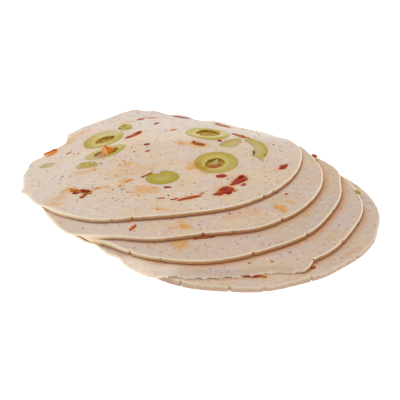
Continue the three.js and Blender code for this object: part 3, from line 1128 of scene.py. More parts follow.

# %% [markdown]
# ## The meat
# The meat is a fine paste of pale pork: matt and slightly see-through, mottled pink-grey and tan, with fine
# grey and reddish grains, specks of spice, and streaks that the filling of the casing drew out round the
# loaf. Its skin is cream at the rim, brightened along the top edge as a painted highlight, and the cut side
# is a warmer tan. Each of these is a layer of procedural noise. The streaks need noise that is stretched
# round the middle of the slice, which is done by feeding it a radius and a direction in place of x and y.
# Painted values add painted sheen towards the rear and left, and painted shade at the right, in the pits, in
# the gaps under the rims and at the foot of each wall.

# %% Colours of the meat
MEAT_COLOURS = [
    (0.62, 0.50, 0.398), (0.61, 0.49, 0.395), (0.59, 0.47, 0.37), (0.62, 0.495, 0.39), (0.64, 0.528, 0.415),
]
TO_TAN, TO_PINK = (1.03, 0.95, 0.83), (0.98, 0.95, 1.02)  # each times the slice's own colour
TO_PALE, TO_STREAK = (1.1, 1.12, 1.15), (0.93, 0.80, 0.72)
# factors of the painted shade at the right
TO_SHADED = (0.90, 0.93, 0.95)
# colour of the painted sheen
MEAT_SHEEN = (0.66, 0.58, 0.515)
PALE_FILM = (0.80, 0.67, 0.54)
# cream skin, made brighter as a painted highlight along the rim's top edge
RIM_CREAM_AND_HIGHLIGHT = (0.88, 0.77, 0.57)
SIDE_TAN = (0.60, 0.31, 0.135)
# the foot of the wall, darkened as painted shade
SIDE_LOW_SHADE = (0.58, 0.235, 0.085)
SIDE_GREY = (0.50, 0.36, 0.27)
# painted shade in the gaps under the rims
CREVICE_SHADE_BROWN = (0.55, 0.245, 0.09)
# painted shade in the pits and under the torn edge
PIT_SHADE_BROWN = (0.30, 0.11, 0.065)
OLIVE_DAMP = (0.50, 0.46, 0.27)
OIL_ORANGE = (0.64, 0.285, 0.03)
SPECKS = [  # shift of the pattern, spacing, share of the cells, size, strength, colour
    ((0.0, 0.0, 0.0), 1.1, 0.7, 0.65, 0.6, (0.50, 0.29, 0.19)),
    ((0.0, 0.0, 0.0), 2.8, 0.5, 1.0, 0.65, (0.38, 0.18, 0.065)),
    ((31.0, 17.0, 5.0), 2.3, 0.5, 1.1, 0.7, (0.42, 0.16, 0.075)),
    ((11.0, 47.0, 9.0), 3.4, 0.35, 1.3, 0.7, (0.74, 0.48, 0.12)),
    ((5.0, 3.0, 71.0), 4.1, 0.3, 0.9, 0.7, (0.86, 0.80, 0.68)),
]


def toned(colour, factors):
    return tuple(min(1.0, c * k) for c, k in zip(colour, factors))


print(len(SPECKS), "kinds of specks in the meat")

# %% Layers of the meat's colour
def drawn_out(f, where, level):
    """Places for noise that is stretched round the middle of a slice."""
    local = f.vector("SUBTRACT", where, (*MIDDLES[level], 0.0))
    flat = f.vector("MULTIPLY", local, (1.0, 1.0, 0.0))
    reach = f.node("ShaderNodeVectorMath", {0: flat}, operation="LENGTH").outputs["Value"]
    heading = f.node("ShaderNodeVectorMath", {0: flat}, operation="NORMALIZE").outputs[0]
    outwards = f.node("ShaderNodeCombineXYZ", {"Z": f.math("MULTIPLY", reach, 0.9)}).outputs[0]
    return f.vector("ADD", f.vector("MULTIPLY", heading, (9.0, 9.0, 0.0)), outwards)


def paste(f, where, drawn, colour):
    """The paste, mottled, paled by painted sheen towards the rear and left, darkened by painted shade at the
    right, and streaked round the middle.
    """
    look = f.mix(f.ramp(f.noise(where, 9, 3), 0.35, 0.65), toned(colour, TO_TAN), toned(colour, TO_PINK))
    # painted sheen towards the rear and left
    look = f.mix(f.paint("painted_sheen"), look, MEAT_SHEEN)
    # painted shade at the right of the lower slices
    look = f.mix(f.paint("dim"), look, TO_SHADED, "MULTIPLY")
    look = f.mix(f.ramp(f.noise(where, 2.2, 2), 0.48, 0.75, 0, 0.65), look, toned(colour, TO_PALE))
    streak = toned(colour, TO_STREAK)
    look = f.mix(f.ramp(f.noise(drawn, 1.0, 3, 0.6), 0.54, 0.72, 0, 0.65), look, streak)
    return f.mix(f.ramp(f.noise(where, 0.55, 3, 0.7), 0.47, 0.72, 0, 0.65), look, streak)


def oil_and_specks(f, look, where, drawn):
    """Oil that the streaks break up, and specks whose cells are shaken out of line."""
    broken = f.ramp(f.noise(drawn, 0.5, 3, 0.65), 0.3, 0.7, 0.42, 1.4)
    oily = f.math("MULTIPLY", f.paint("oil"), broken, clamp=True)
    look = f.mix(f.math("MULTIPLY", oily, 0.95), look, OIL_ORANGE)
    wobble = f.node("ShaderNodeTexNoise", {"Vector": where, "Scale": 1.2}).outputs["Color"]
    shaken = f.vector("ADD", where, f.vector("MULTIPLY", wobble, (0.7, 0.7, 0.7)))
    for shift, spacing, share, size, strength, colour in SPECKS:
        specks = f.specks(f.vector("ADD", shaken, shift), spacing, share, size)
        look = f.mix(f.math("MULTIPLY", specks, strength), look, colour)
    return look


def skin_and_side(f, look, where, bottom):
    """Painted shade in the gap, the film, the cream skin brightened as a painted highlight, and the tan side
    with painted shade at its foot. The floor greys the bottom slice's side.
    """
    # painted shade in the gap beside and under the rim of the slice above
    look = f.mix(f.math("MULTIPLY", f.paint("crevice_shade"), 0.8), look, CREVICE_SHADE_BROWN)
    filmy = f.math("MULTIPLY", f.paint("film"), f.ramp(f.noise(where, 1.4, 3), 0.3, 0.6, 0.4, 0.95))
    look = f.mix(filmy, look, PALE_FILM)
    # the cream skin along the top edge, brightened as a painted highlight
    look = f.mix(f.ramp(f.paint("edge"), 0.25, 0.85, 0.45 if bottom else 0.85, 0.0), look, RIM_CREAM_AND_HIGHLIGHT)
    side_tan, side_low = (SIDE_GREY, SIDE_GREY) if bottom else (SIDE_TAN, SIDE_LOW_SHADE)
    side = f.paint("side")
    side_look = f.mix(f.ramp(f.noise(where, 1.5, 2), 0.35, 0.7, 0.1, 0.6), side_tan, RIM_CREAM_AND_HIGHLIGHT)
    side_look = f.mix(f.ramp(side, 0.2, 0.5, 0.0, 0.85), side_look, side_tan)
    look = f.mix(f.ramp(side, 0.1, 0.35, 0.0, 0.95), look, side_look)
    # painted shade at the foot of the wall
    return f.mix(f.ramp(side, 0.5, 0.9, 0.0, 0.9), look, side_low)


print("layers of the meat: paste, oil and specks, skin and side")

# %% Finish of the meat
def meat_finish(level):
    f = Finish(f"meat_{level + 1}")
    where = f.place()
    drawn = drawn_out(f, where, level)
    look = paste(f, where, drawn, MEAT_COLOURS[level])
    look = oil_and_specks(f, look, where, drawn)
    look = skin_and_side(f, look, where, bottom=level == 0)
    # painted shade in the pits and under the torn edge
    look = f.mix(f.math("MULTIPLY", f.paint("pit"), 0.65), look, PIT_SHADE_BROWN)
    look = f.mix(f.math("MULTIPLY", f.paint("damp"), 0.3), look, OLIVE_DAMP)
    grain = f.math("ADD", f.noise(where, 0.5, 3, 0.6), f.math("MULTIPLY", f.noise(where, 1.7, 2), 0.8))
    f.sockets({
        "Base Color": look,
        "Roughness": f.ramp(f.noise(where, 1.6, 2), 0.3, 0.7, 0.38, 0.55),
        "Subsurface Weight": 0.4,
        "Subsurface Radius": (1.0, 0.7, 0.5),
        "Subsurface Scale": 1.3 * MM,
        "Specular IOR Level": 0.05,
        "Normal": f.bump(grain, 0.12),
    })
    return f.material


meat = [meat_finish(level) for level in range(TOP + 1)]
print("meat finishes:", [m.name for m in meat])

# %% Make the slices
def set_in_place(piece, slot, *nodes):
    """The piece moves with the model and stands for its nodes. The slot is not used."""
    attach(piece, "root")
    if nodes:
        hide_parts(*nodes)


for level in range(TOP + 1):
    shell, pits = make_slice(level)
    local = np.concatenate(shell.points)[:, :2] - MIDDLES[level]
    paint_face(shell, level, local, pits)
    if level < TOP:
        paint_crevice_shade(shell, level, local)
    if level == TORN_LEVEL:
        paint_torn_edge(shell, level, local)
    body = shell.to_object(f"meat_slice_{level + 1}", meat[level])
    set_in_place(body, "meat", f"slice_{level + 1}")

# %% [markdown]
# ## The flesh of the olives
# Green olive flesh is firm, wet and see-through: yellow-green, paler towards the pit, with a thin darker
# skin all round. Glass would be far too clear, so it is a waxy solid with some light passing under the
# surface, and its colours follow the distance from the skin, which is painted on.

# %% Finish of the olives
FLESH = (0.425, 0.32, 0.05)
FLESH_PALE = (0.53, 0.42, 0.125)
FLESH_SKIN = (0.36, 0.285, 0.045)
# faded flesh, and the painted light on the tooth's facets
FLESH_FADED_AND_LIT = (0.505, 0.395, 0.205)
FLESH_MOTTLE = (0.40, 0.31, 0.06)
HOLE_DARK = (0.29, 0.145, 0.012)
HOLE_LIGHT = (0.52, 0.34, 0.05)
SEEPED_BROWN = (0.42, 0.22, 0.02)


def olive_finish():
    f = Finish("olive_flesh")
    where = f.place()
    edge = f.paint("edge")
    look = f.mix(f.ramp(edge, 1.5, 4.4), FLESH, FLESH_PALE)
    look = f.mix(f.paint("pale"), look, FLESH_FADED_AND_LIT)
    look = f.mix(f.ramp(f.noise(where, 2.4, 2), 0.45, 0.8, 0, 0.25), look, FLESH_MOTTLE)
    shaded = f.math("MULTIPLY", f.paint("shade"), 0.7)
    look = f.mix(f.math("ADD", f.ramp(edge, 0.1, 0.8, 0.4, 0.0), shaded, clamp=True), look, FLESH_SKIN)
    soaked = f.ramp(f.noise(where, 0.9, 3), 0.3, 0.6, 0.4, 1.2)
    look = f.mix(f.math("MULTIPLY", f.paint("seeped"), soaked, clamp=True), look, SEEPED_BROWN)
    rough = f.mix(f.ramp(f.noise(where, 0.9, 3, 0.6), 0.38, 0.66), HOLE_DARK, HOLE_LIGHT)
    f.sockets({
        "Base Color": f.mix(f.ramp(f.paint("hole"), 0.1, 0.6), look, rough),
        "Roughness": f.ramp(f.noise(where, 1.1, 2), 0.3, 0.7, 0.2, 0.34),
        "Specular IOR Level": 0.03,
        "Subsurface Weight": 0.3,
        "Subsurface Radius": (1.0, 0.9, 0.3),
        "Subsurface Scale": 1.2 * MM,
        "Normal": f.bump(f.noise(where, 1.6, 2), 0.02),
    })
    return f.material


olive = olive_finish()
print("olive finish:", olive.name)

# %% [markdown]
# ## The pimento
# Pimento is cooked red pepper: dark red and glossy where it is thick, orange where it thins, and brown
# where it has dried. A wet coat over it would mirror the whole white room and make the red milky, so the
# gloss is kept weak and narrow: it shows as small glints on the lumps. Painted values say where it is
# orange, brown or dark.

# %% Finish of the pimento
PEPPER_RED = (0.39, 0.036, 0.021)
PEPPER_DARK = (0.195, 0.013, 0.010)
PEPPER_ORANGE = (0.68, 0.20, 0.018)
PEPPER_BROWN = (0.33, 0.115, 0.02)
# the pale orange of the painted light on the wedge's facets
PEPPER_LIT = (0.85, 0.46, 0.17)
PEPPER_SALMON = (0.44, 0.24, 0.18)
PEPPER_BLACK = (0.035, 0.014, 0.008)


def pimento_finish():
    f = Finish("pimento_flesh")
    where = f.place()
    look = f.mix(f.ramp(f.noise(where, 0.9, 3), 0.42, 0.72), PEPPER_RED, PEPPER_DARK)
    faded = f.math("ADD", f.paint("fade"), f.ramp(f.noise(where, 1.5, 2), 0.55, 0.8, 0, 0.35), clamp=True)
    look = f.mix(faded, look, PEPPER_ORANGE)
    tones = {"purple": PEPPER_SALMON, "brown": PEPPER_BROWN, "pale": PEPPER_LIT, "dark": PEPPER_BLACK}
    for paint, colour in tones.items():
        look = f.mix(f.paint(paint), look, colour)
    f.sockets({
        "Base Color": look,
        "Roughness": f.ramp(f.noise(where, 0.7, 2), 0.3, 0.7, 0.14, 0.3),
        "Specular IOR Level": 0.025,
        "Subsurface Weight": 0.08,
        "Subsurface Radius": (1.0, 0.25, 0.15),
        "Subsurface Scale": 0.5 * MM,
        "Normal": f.bump(f.noise(where, 0.8, 3), 0.12),
    })
    return f.material


pimento = pimento_finish()
print("pimento finish:", pimento.name)

# %% [markdown]
# ## Olives cut across
# A ring is modelled as rows of points: up its outer wall, over the cut face, which stands very slightly
# proud, and down into the hole that the stone left, whose wall and floor are rough. Where the hole was
# stuffed, the stuffing is a piece of its own and sits on that floor.

# %% Where oil has browned a ring
SEEPED = [  # ring, at, size: where the oil of the stuffing has browned the flesh
    ("olive_ring_front", (16.4, -11.6), (4.6, 6.4)),
    ("olive_ring_front", (19.4, -14.6), (6.0, 3.0)),
]


def seeped(name, points):
    total = np.zeros(len(points))
    for on, at, size in SEEPED:
        if on == name:
            away = np.hypot((points[:, 0] - at[0]) / (size[0] / 2), (points[:, 1] - at[1]) / (size[1] / 2))
            total = np.maximum(total, 1 - ease(away, 0.5, 1.2))
    return total


print("rings with brown places:", len({on for on, _, _ in SEEPED}))

# %% A ring with its hole
RING_PROUD = 0.07
RING_EDGE = ((0.0, -0.3), (0.03, -0.06), (0.14, 0.0))  # how far in, and how far up
RING_FACE_INSET = 0.3
RING_FACE_ROWS = 9
HOLE_DEPTH = 1.0
HOLE_ROWS = [  # how far out, how far up, and how dark
    (0.1, -0.03, 0.05), (0.02, -0.15, 0.3), (-0.1, -0.4, 0.6), (-0.25, -0.7, 0.85), (-0.5, -0.95, 1.0),
]
HOLE_FROM_SKIN = 3.0  # the painted distance to the skin inside a hole


def on_top(local, lift=0.0):
    """Points on the top slice's face, counted from the middle of the slice."""
    return on_face(TOP, local, lift)


def from_bearing(loop, middle):
    """The same outline, started at the bearing 0 from a middle."""
    bearing = np.arctan2(*(loop - middle).T[::-1]) % (2 * np.pi)
    return np.roll(loop, -int(np.argmin(bearing)), axis=0)


def ring(name, pale_towards=0.0, pale_most=0.0, skin_shade=(0.0, 0.0)):
    """The flesh can pale towards a bearing. skin_shade is how much darker the skin is, and towards where."""
    shell = Shell()
    seed = sum(map(ord, name))
    middle = np.array(HOLES[name]["at"])
    outer = from_bearing(piece_loop(**RINGS[name], sides=RING_SIDES), middle)
    hole = from_bearing(piece_loop(**HOLES[name], sides=RING_SIDES, ragged=0.45, seed=seed), middle)

    def painted(points, inset):
        off = points - RINGS[name]["at"]
        heading = math.radians(pale_towards)
        along = off @ (math.cos(heading), math.sin(heading)) / RINGS[name]["size"][0]
        facing = np.cos(np.arctan2(off[:, 1], off[:, 0]) - math.radians(skin_shade[1]))
        shade = skin_shade[0] * ease(facing, -0.2, 0.6) * ease(-inset, -1.6, -0.5)
        return {"edge": inset, "pale": pale_most * ease(along, 0.0, 0.5), "shade": shade}

    floor = on_top(outer, -THICKNESS)
    rows = [shell.add(floor, edge=0.0)]
    for inset, lift in RING_EDGE:
        points = grown(outer, -inset)
        rows.append(shell.add(on_top(points, lift), **painted(points, inset)))
    first, last = grown(outer, -RING_FACE_INSET), grown(hole, RING_FACE_INSET)
    for part in np.linspace(0, 1, RING_FACE_ROWS):
        points = first + (last - first) * part
        inset = RING_FACE_INSET + np.linalg.norm(points - first, axis=1)
        crown = RING_PROUD * math.sin(math.pi * (0.15 + 0.8 * part))
        place = on_top(points, crown + 0.012 * hills(*points.T, 1.6, seed + 2))
        rows.append(shell.add(place, **painted(points, inset), seeped=seeped(name, points)))
    for out, lift, dark in HOLE_ROWS:
        rough = 0.2 * hills(hole[:, 0] + 10 * lift, hole[:, 1], 0.9, seed + 3) * (dark > 0.3)
        points = grown(hole, out) + (middle - hole) * (rough / 6)[:, None]
        rows.append(shell.add(on_top(points, lift), edge=HOLE_FROM_SKIN, hole=dark))
    for share in (0.75, 0.5, 0.25):
        points = middle + (grown(hole, HOLE_ROWS[-1][0]) - middle) * share
        place = on_top(points, 0.22 * hills(*points.T, 0.8, seed + 4) - HOLE_DEPTH)
        rows.append(shell.add(place, edge=HOLE_FROM_SKIN, hole=1.0))
    shell.strip(rows)
    shell.fan_in(rows[-1], on_top(middle[None], -HOLE_DEPTH)[0], edge=HOLE_FROM_SKIN, hole=1.0)
    shell.fan_in(rows[0][::-1], (*on_top(middle[None])[0, :2], floor[:, 2].mean()))
    set_in_place(shell.to_object(name.replace("olive_ring", "olive_slice"), olive), "olive", name)


ring("olive_ring_rear_left", 60, 0.9, skin_shade=(0.9, 225.0))
ring("olive_ring_left", 200, 1.0)
ring("olive_ring_front", 320, 0.35)
ring("olive_ring_rear_right", skin_shade=(0.8, 270.0))

# %% [markdown]
# ## Solid pieces
# The other pieces of olive and the pimento are plugs: an outline, a rounded edge and a lightly lumpy face
# that stands a hair above the meat. As on the slices, the face is a net tied to the outline, which also
# works for the bent pieces.

# %% A plug in its pocket
def plug(name, loop, material, slot, proud, lumps, lump_width, spacing=0.55, rounded=0.2, **paints):
    """A paint is a number, or a function that gives one for each point."""
    shell = Shell()
    level = level_of(name)

    def add(local, lift, edge):
        place = on_face(level, local, lift)
        place[:, 2] = np.maximum(place[:, 2], 0.0)
        values = {paint: value(local) if callable(value) else value for paint, value in paints.items()}
        return shell.add(place, edge=edge, **values)

    rows = [add(loop, -THICKNESS, 0.0)]
    for inset, lift in ((0.0, -0.3), (0.25 * rounded, -0.04), (rounded, 0.4 * proud)):
        rows.append(add(grown(loop, -inset), lift, inset))
    shell.strip(rows)
    last = grown(loop, -rounded)

    def keep(points):
        return inside_loop(points, last) & (distance_to(points, last) > 0.55 * spacing)

    inner = lattice(level, spacing, keep)
    away = distance_to(inner, loop)
    rise = proud * ease(away, 0, 1.2) + lumps * hills(*inner.T, lump_width, sum(map(ord, name)))
    used = np.concatenate([rows[-1], add(inner, rise, away)])
    top = triangulate(np.concatenate([last, inner]), [np.arange(len(last))])
    shell.faces.extend(used[top].tolist())
    bottom = triangulate(loop, [np.arange(len(loop))])
    shell.faces.extend(rows[0][bottom][:, ::-1].tolist())
    set_in_place(shell.to_object(name + "_flesh", material), slot, name)


print("a plug can be made from any outline")

# %% The small pieces of olive
OLIVE_SHAPE = {"proud": 0.06, "lumps": 0.02, "lump_width": 2.6}
OLIVE_TONES = {"olive_chip_left": {"pale": 1.0}, "olive_block": {"pale": 0.3}, "olive_cap": {"shade": 0.6}}
for name, sizes in OLIVE_PIECES.items():
    tones = OLIVE_TONES.get(name, {})
    plug(name, piece_loop(**sizes), olive, "olive", **OLIVE_SHAPE, **tones)

# %% The broken olive
ARC_SHAPE = {"proud": 0.06, "lumps": 0.015, "lump_width": 2.6}


def pale_inside(local):
    """The broken olive is darker along its skin and pales towards the stone."""
    away = local - BROKEN_OLIVE["at"]
    reach = np.hypot(away[:, 0] / BROKEN_OLIVE["size"][1], away[:, 1] / BROKEN_OLIVE["size"][0]) * 2
    return 0.15 + 0.7 * (1 - ease(reach, 0.62, 0.95))


for name, span in ARCS.items():
    plug(name, arc_loop(span), olive, "olive", **ARC_SHAPE, pale=pale_inside)

# %% The pieces of pimento
PIMENTO_TONES = {  # how orange, and how brown
    "pimento_5": (0.2, 0.0), "pimento_6": (0.25, 0.0), "pimento_7": (0.3, 0.5), "pimento_8": (0.7, 0.5),
    "pimento_9": (1.0, 0.0), "pimento_10": (0.0, 0.2), "pimento_11": (0.3, 0.6),
}
PIMENTO_SHAPE = {"proud": 0.3, "lumps": 0.22, "lump_width": 1.2, "spacing": 0.4}
WIDE_PIECE = 2.7
WIDE_ROUNDED, THIN_ROUNDED = 0.2, 0.08  # the thin pieces have sharper edges
for name, sizes in PIMENTO.items():
    fade, brown = PIMENTO_TONES.get(name, (0.0, 0.0))
    rounded = WIDE_ROUNDED if min(sizes["size"]) > WIDE_PIECE else THIN_ROUNDED
    loop = piece_loop(**sizes)
    plug(name, loop, pimento, "pimento", **PIMENTO_SHAPE, rounded=rounded, fade=fade, brown=brown)

# %% Stuffing of the two stuffed olives
STUFFING_ROWS = ((1.0, 0.35), (0.94, 0.7), (0.8, 0.92), (0.6, 1.0), (0.35, 1.0))  # shares of reach and height


def stuffing(at, size, turn, base, high, seed, **paints):
    """A lump of pimento in an olive's hole, from the hole's floor up."""
    shell = Shell()
    loop = piece_loop(at, size, turn, sides=36, ragged=0.2, seed=seed)
    rows = [shell.add(on_top(loop, base), **paints)]
    middle = np.array(at)
    for share, part in STUFFING_ROWS:
        points = middle + (loop - middle) * share
        lift = base + (high - base) * part + 0.1 * hills(points[:, 0], points[:, 1], 0.9, seed + 1)
        rows.append(shell.add(on_top(points, lift), **paints))
    shell.strip(rows)
    shell.fan_in(rows[-1], on_top(middle[None], high)[0], **paints)
    shell.fan_in(rows[0][::-1], on_top(middle[None], base)[0], **paints)
    return shell


STUFFINGS = {
    "stuffing_left": stuffing((-18.3, -0.2), (9.8, 4.3), 51, -1.6, -0.2, 210, purple=0.9),
    "stuffing_front": stuffing((23.3, -12.2), (7.6, 3.5), 5, -1.6, -0.25, 220, fade=0.5, brown=0.8),
}
for name, shell in STUFFINGS.items():
    set_in_place(shell.to_object(name + "_core", pimento), "pimento", name)

# %% [markdown]
# ## A wedge and a tooth
# Two hard-edged bits stand in the olives: a wedge of bright stuffing that has been pushed up out of the
# left olive, and a splinter of flesh in the hole of the front one. A few corners describe each, with a
# point on top. Plain triangles would look like cut glass, so each side is divided and shaken a little
# between its corners. Some sides are painted paler than others, as painted light on the facets.

# %% A piece with corners
def cornered(corners, tones, top, base, seed, rough, sides=6, steps=8, **paints):
    """Corners and top are places on the slice with a height. Tones say how pale each side is painted, as
    painted light on its facets.
    """
    shell = Shell()
    corners, top = np.array(corners, float), np.array(top, float)
    share = (np.arange(sides) / sides)[:, None]
    foot = np.concatenate([a + (b - a) * share for a, b in zip(corners, np.roll(corners, -1, axis=0))])
    # painted light: each side is painted as pale as its tone
    paints["pale"] = np.repeat(tones, sides)
    rows = [shell.add(on_top(foot[:, :2], base), **paints)]
    for share in np.linspace(0, 1, steps)[:-1]:
        points = foot + (top - foot) * share
        shake = rough * hills(points[:, 0] + 3 * share, points[:, 1], 0.7, seed)
        rows.append(shell.add(on_top(points[:, :2] + shake[:, None], points[:, 2] + shake), **paints))
    shell.strip(rows)
    shell.fan_in(rows[-1], on_top(top[None, :2], top[2])[0], **{**paints, "pale": max(tones)})
    middle = foot.mean(axis=0)
    shell.fan_in(rows[0][::-1], on_top(middle[None, :2], base)[0], **{**paints, "pale": 0.0})
    return shell


print("a piece with corners can be made")

# %% The wedge and the tooth
WEDGE = [(-19.3, 0.2, -0.3), (-17.5, -2.4, 0.1), (-16.6, -2.2, 0.1), (-13.9, 3.4, 0.3), (-16.4, 4.6, -0.2)]
# painted light on the wedge's facets
WEDGE_FACET_LIGHT = [0.6, 0.7, 0.0, 0.35, 0.5]
wedge = cornered(WEDGE, WEDGE_FACET_LIGHT, (-18.6, 3.0, 2.6), -1.4, seed=240, rough=0.14, fade=1.0, brown=0.3)
wedge_piece = wedge.to_object("stuffing_left_wedge", pimento)
set_in_place(wedge_piece, "pimento")
TOOTH = [(21.4, -10.9, -0.35), (24.2, -10.6, -0.35), (25.0, -8.0, -0.5), (23.0, -7.4, -0.6)]
# painted light on the tooth's facets
TOOTH_FACET_LIGHT = [0.7, 0.1, 0.0, 1.0]
tooth = cornered(TOOTH, TOOTH_FACET_LIGHT, (23.9, -8.3, 0.8), -0.95, seed=250, rough=0.03, edge=3.6)
tooth_piece = tooth.to_object("olive_slice_front_tooth", olive)
set_in_place(tooth_piece, "olive")
for piece in (wedge_piece, tooth_piece):
    piece.data.polygons.foreach_set("use_smooth", [False] * len(piece.data.polygons))

# %% [markdown]
# ## Flakes
# Around the larger pieces lie small flakes of pepper and olive, some of them torn off the same piece. Each
# is a thin lens, half sunk in the meat. A pocket for each would cost far more points than its size
# deserves, so the lenses just dip into the face. All flakes of one kind are one object: that keeps the list
# of pieces short.

# %% Flakes of pimento: slice, at, size, turn, faded, brown, height
PIMENTO_FLAKES = [
    (4, (33.6, -29.2), (2.6, 1.7), 60, 0.1, 0.1, 0.25),
    (4, (34.2, -24.2), (3.4, 1.5), 105, 0.3, 0.1, 0.4),
    (4, (32.7, -22.6), (3.4, 1.7), 50, 0.0, 0.0, 0.6),
    (4, (28.1, -36.0), (3.8, 2.3), 80, 0.0, 0.0, 0.6),
    (4, (26.4, -34.0), (3.6, 1.6), 60, 0.0, 0.0, 0.65),
    (4, (24.0, -37.2), (3.6, 1.3), 55, 0.1, 0.1, 0.35),
    (4, (30.2, -34.5), (2.4, 1.3), 70, 1.0, 0.3, 0.2),
    (4, (22.6, -38.0), (1.8, 0.8), 50, 1.0, 0.4, 0.15),
    (4, (49.4, -12.4), (2.4, 1.2), 60, 0.1, 0.0, 0.45),
    (4, (47.0, -15.0), (2.0, 1.0), 60, 0.6, 0.1, 0.2),
    (4, (6.2, -31.6), (2.9, 1.4), 2, 0.05, 0.0, 0.25),
    (4, (3.9, -41.1), (3.2, 1.0), 6, 0.45, 0.0, 0.2),
    (4, (8.9, -42.0), (3.0, 0.9), 30, 0.3, 0.0, 0.2),
    (4, (18.4, -37.3), (2.4, 0.9), 35, 0.7, 0.0, 0.2),
    (4, (-6.05, 51.6), (3.6, 1.7), 36, 0.35, 0.1, 0.3),
    (4, (-1.6, 53.4), (5.0, 0.9), 4, 0.9, 0.1, 0.15),
    (4, (0.55, 43.1), (3.8, 1.3), 62, 0.0, 0.1, 0.3),
    (4, (7.25, 31.2), (2.8, 1.6), 28, 1.0, 0.0, 0.3),
    (4, (-2.25, 7.45), (2.7, 1.5), 21, 0.0, 0.25, 0.3),
    (4, (-1.9, 1.1), (2.5, 1.4), 45, 0.3, 0.3, 0.15),
    (4, (10.4, 53.9), (8.1, 1.1), -23, 0.0, 0.1, 0.25),
    (4, (25.3, 10.7), (2.2, 1.5), -45, 0.2, 0.0, 0.3),
    (4, (-32.0, 8.85), (3.3, 0.8), 59, 0.4, 0.1, 0.2),
    (4, (-28.3, 6.3), (1.4, 0.7), 56, 0.4, 0.1, 0.2),
    (4, (-9.75, 23.25), (3.9, 1.2), 50, 0.1, 0.0, 0.5),
    (4, (-6.3, 28.5), (4.8, 1.4), 56, 0.05, 0.1, 0.5),
    (4, (-40.6, 14.0), (4.0, 1.6), 40, 0.95, 0.0, 0.5),
    (4, (-38.2, 15.6), (2.6, 1.5), 20, 0.75, 0.2, 0.6),
    (4, (35.6, 14.6), (4.4, 1.3), 128, 0.9, 0.2, 0.2),
    (4, (31.0, 20.4), (3.6, 1.3), 125, 0.1, 0.5, 0.4),
    (4, (-27.3, -34.6), (3.4, 1.9), 40, 1.0, 0.35, 0.5),
    (4, (-26.7, -36.7), (2.4, 1.3), 10, 0.0, 0.0, 0.4),
    (4, (-24.2, -34.9), (2.4, 2.0), 150, 0.05, 0.0, 0.7),
    (4, (-22.6, -35.3), (2.0, 1.6), 60, 0.0, 0.0, 0.75),
    (4, (-23.3, -37.6), (3.4, 1.5), 80, 0.2, 0.6, 0.5),
    (4, (-24.1, -39.9), (2.6, 1.5), 50, 0.5, 0.7, 0.4),
    (4, (-21.8, -37.0), (1.8, 1.0), 40, 1.0, 0.2, 0.3),
    (4, (-19.4, -32.6), (2.6, 1.1), 30, 1.0, 0.1, 0.15),
    (4, (17.7, 7.5), (3.4, 1.5), 150, 0.0, 0.7, 0.4),
    (4, (15.3, 9.7), (2.6, 1.3), 60, 0.2, 0.6, 0.35),
    (4, (-0.9, -20.1), (4.0, 1.3), 47, 1.0, 0.45, 0.35),
    (4, (-2.9, -22.3), (2.8, 1.0), 47, 0.1, 0.6, 0.3),
    (3, (37.2, -18.9), (3.6, 1.8), 33, 0.0, 0.3, 0.35),
    (4, (37.7, -0.6), (5.0, 0.6), 98, 0.0, 1.0, 0.05),
    (3, (53.7, 15.3), (3.0, 1.8), 110, 0.2, 0.0, 0.4),
    (3, (-12.7, -47.3), (5.2, 1.4), 65, 0.45, 0.0, 0.35),
    (3, (-13.2, -42.4), (2.2, 1.0), 30, 0.7, 0.1, 0.2),
    (3, (41.6, -19.6), (1.3, 1.0), 30, 0.3, 0.0, 0.2),
    (2, (5.4, -41.3), (8.4, 2.6), 3, 0.0, 0.6, 0.3),
    (2, (2.6, -42.9), (1.4, 0.9), 10, 0.1, 0.1, 0.2),
    (2, (40.6, -6.4), (1.6, 1.0), 60, 0.1, 0.0, 0.2),
    (0, (29.6, -43.2), (2.9, 1.3), 44, 0.1, 0.0, 0.3),
    (0, (12.4, -49.6), (3.4, 1.3), 160, 0.6, 0.1, 0.3),
    (0, (5.6, -49.0), (7.4, 3.0), 173, 0.0, 0.4, 0.4),
    (0, (4.6, -47.4), (3.4, 1.0), 165, 0.1, 0.3, 0.25),
]
ORANGE_FLECKS = [
    (-11.8, -11.8), (-7.9, -7.2), (-10.0, -10.0), (-11.1, -30.5), (-7.3, -25.2), (-20.8, -16.3),
    (-33.3, -22.2), (-29.7, -20.8), (-8.9, -26.6), (-8.3, -26.1), (-12.9, -21.9), (-19.4, -32.2),
    (-18.6, -31.8), (-32.6, -19.3), (-10.6, -8.1), (-8.0, 4.6),
]
DARK_DOTS = [  # x, y, long side
    (-21.2, -37.0, 0.9), (-6.8, 0.3, 0.7), (-18.8, -10.7, 0.7), (4.5, 29.7, 0.6), (6.6, -39.0, 0.8),
    (7.6, -42.4, 0.9), (-14.0, 37.2, 1.5), (-22.8, -11.4, 0.7), (45.6, 7.0, 0.9), (42.0, -2.6, 0.7),
]
FLAKE_ROWS = ((0.8, -0.6), (1.0, -0.05), (0.88, 0.55), (0.55, 0.95))  # shares of the reach and of the height


def flake(shell, level, at, size, turn, high, seed, **paints):
    """Adds a thin lens, half sunk in the face of a slice, to a shell."""
    middle = np.array(at, float)
    paints["edge"] = 1.0
    loop = piece_loop(at, size, turn, sides=14, ragged=0.12 * size[1], seed=seed)
    rows = []
    for share, part in FLAKE_ROWS:
        points = middle + (loop - middle) * share
        rise = high * part + 0.12 * high * hills(*points.T, 0.8, seed + 1)
        rows.append(shell.add(on_face(level, points, rise), **paints))
    shell.strip(rows)
    shell.fan_in(rows[-1], on_face(level, middle[None], high)[0], **paints)
    shell.fan_in(rows[0][::-1], on_face(level, middle[None], FLAKE_ROWS[0][1] * high)[0], **paints)


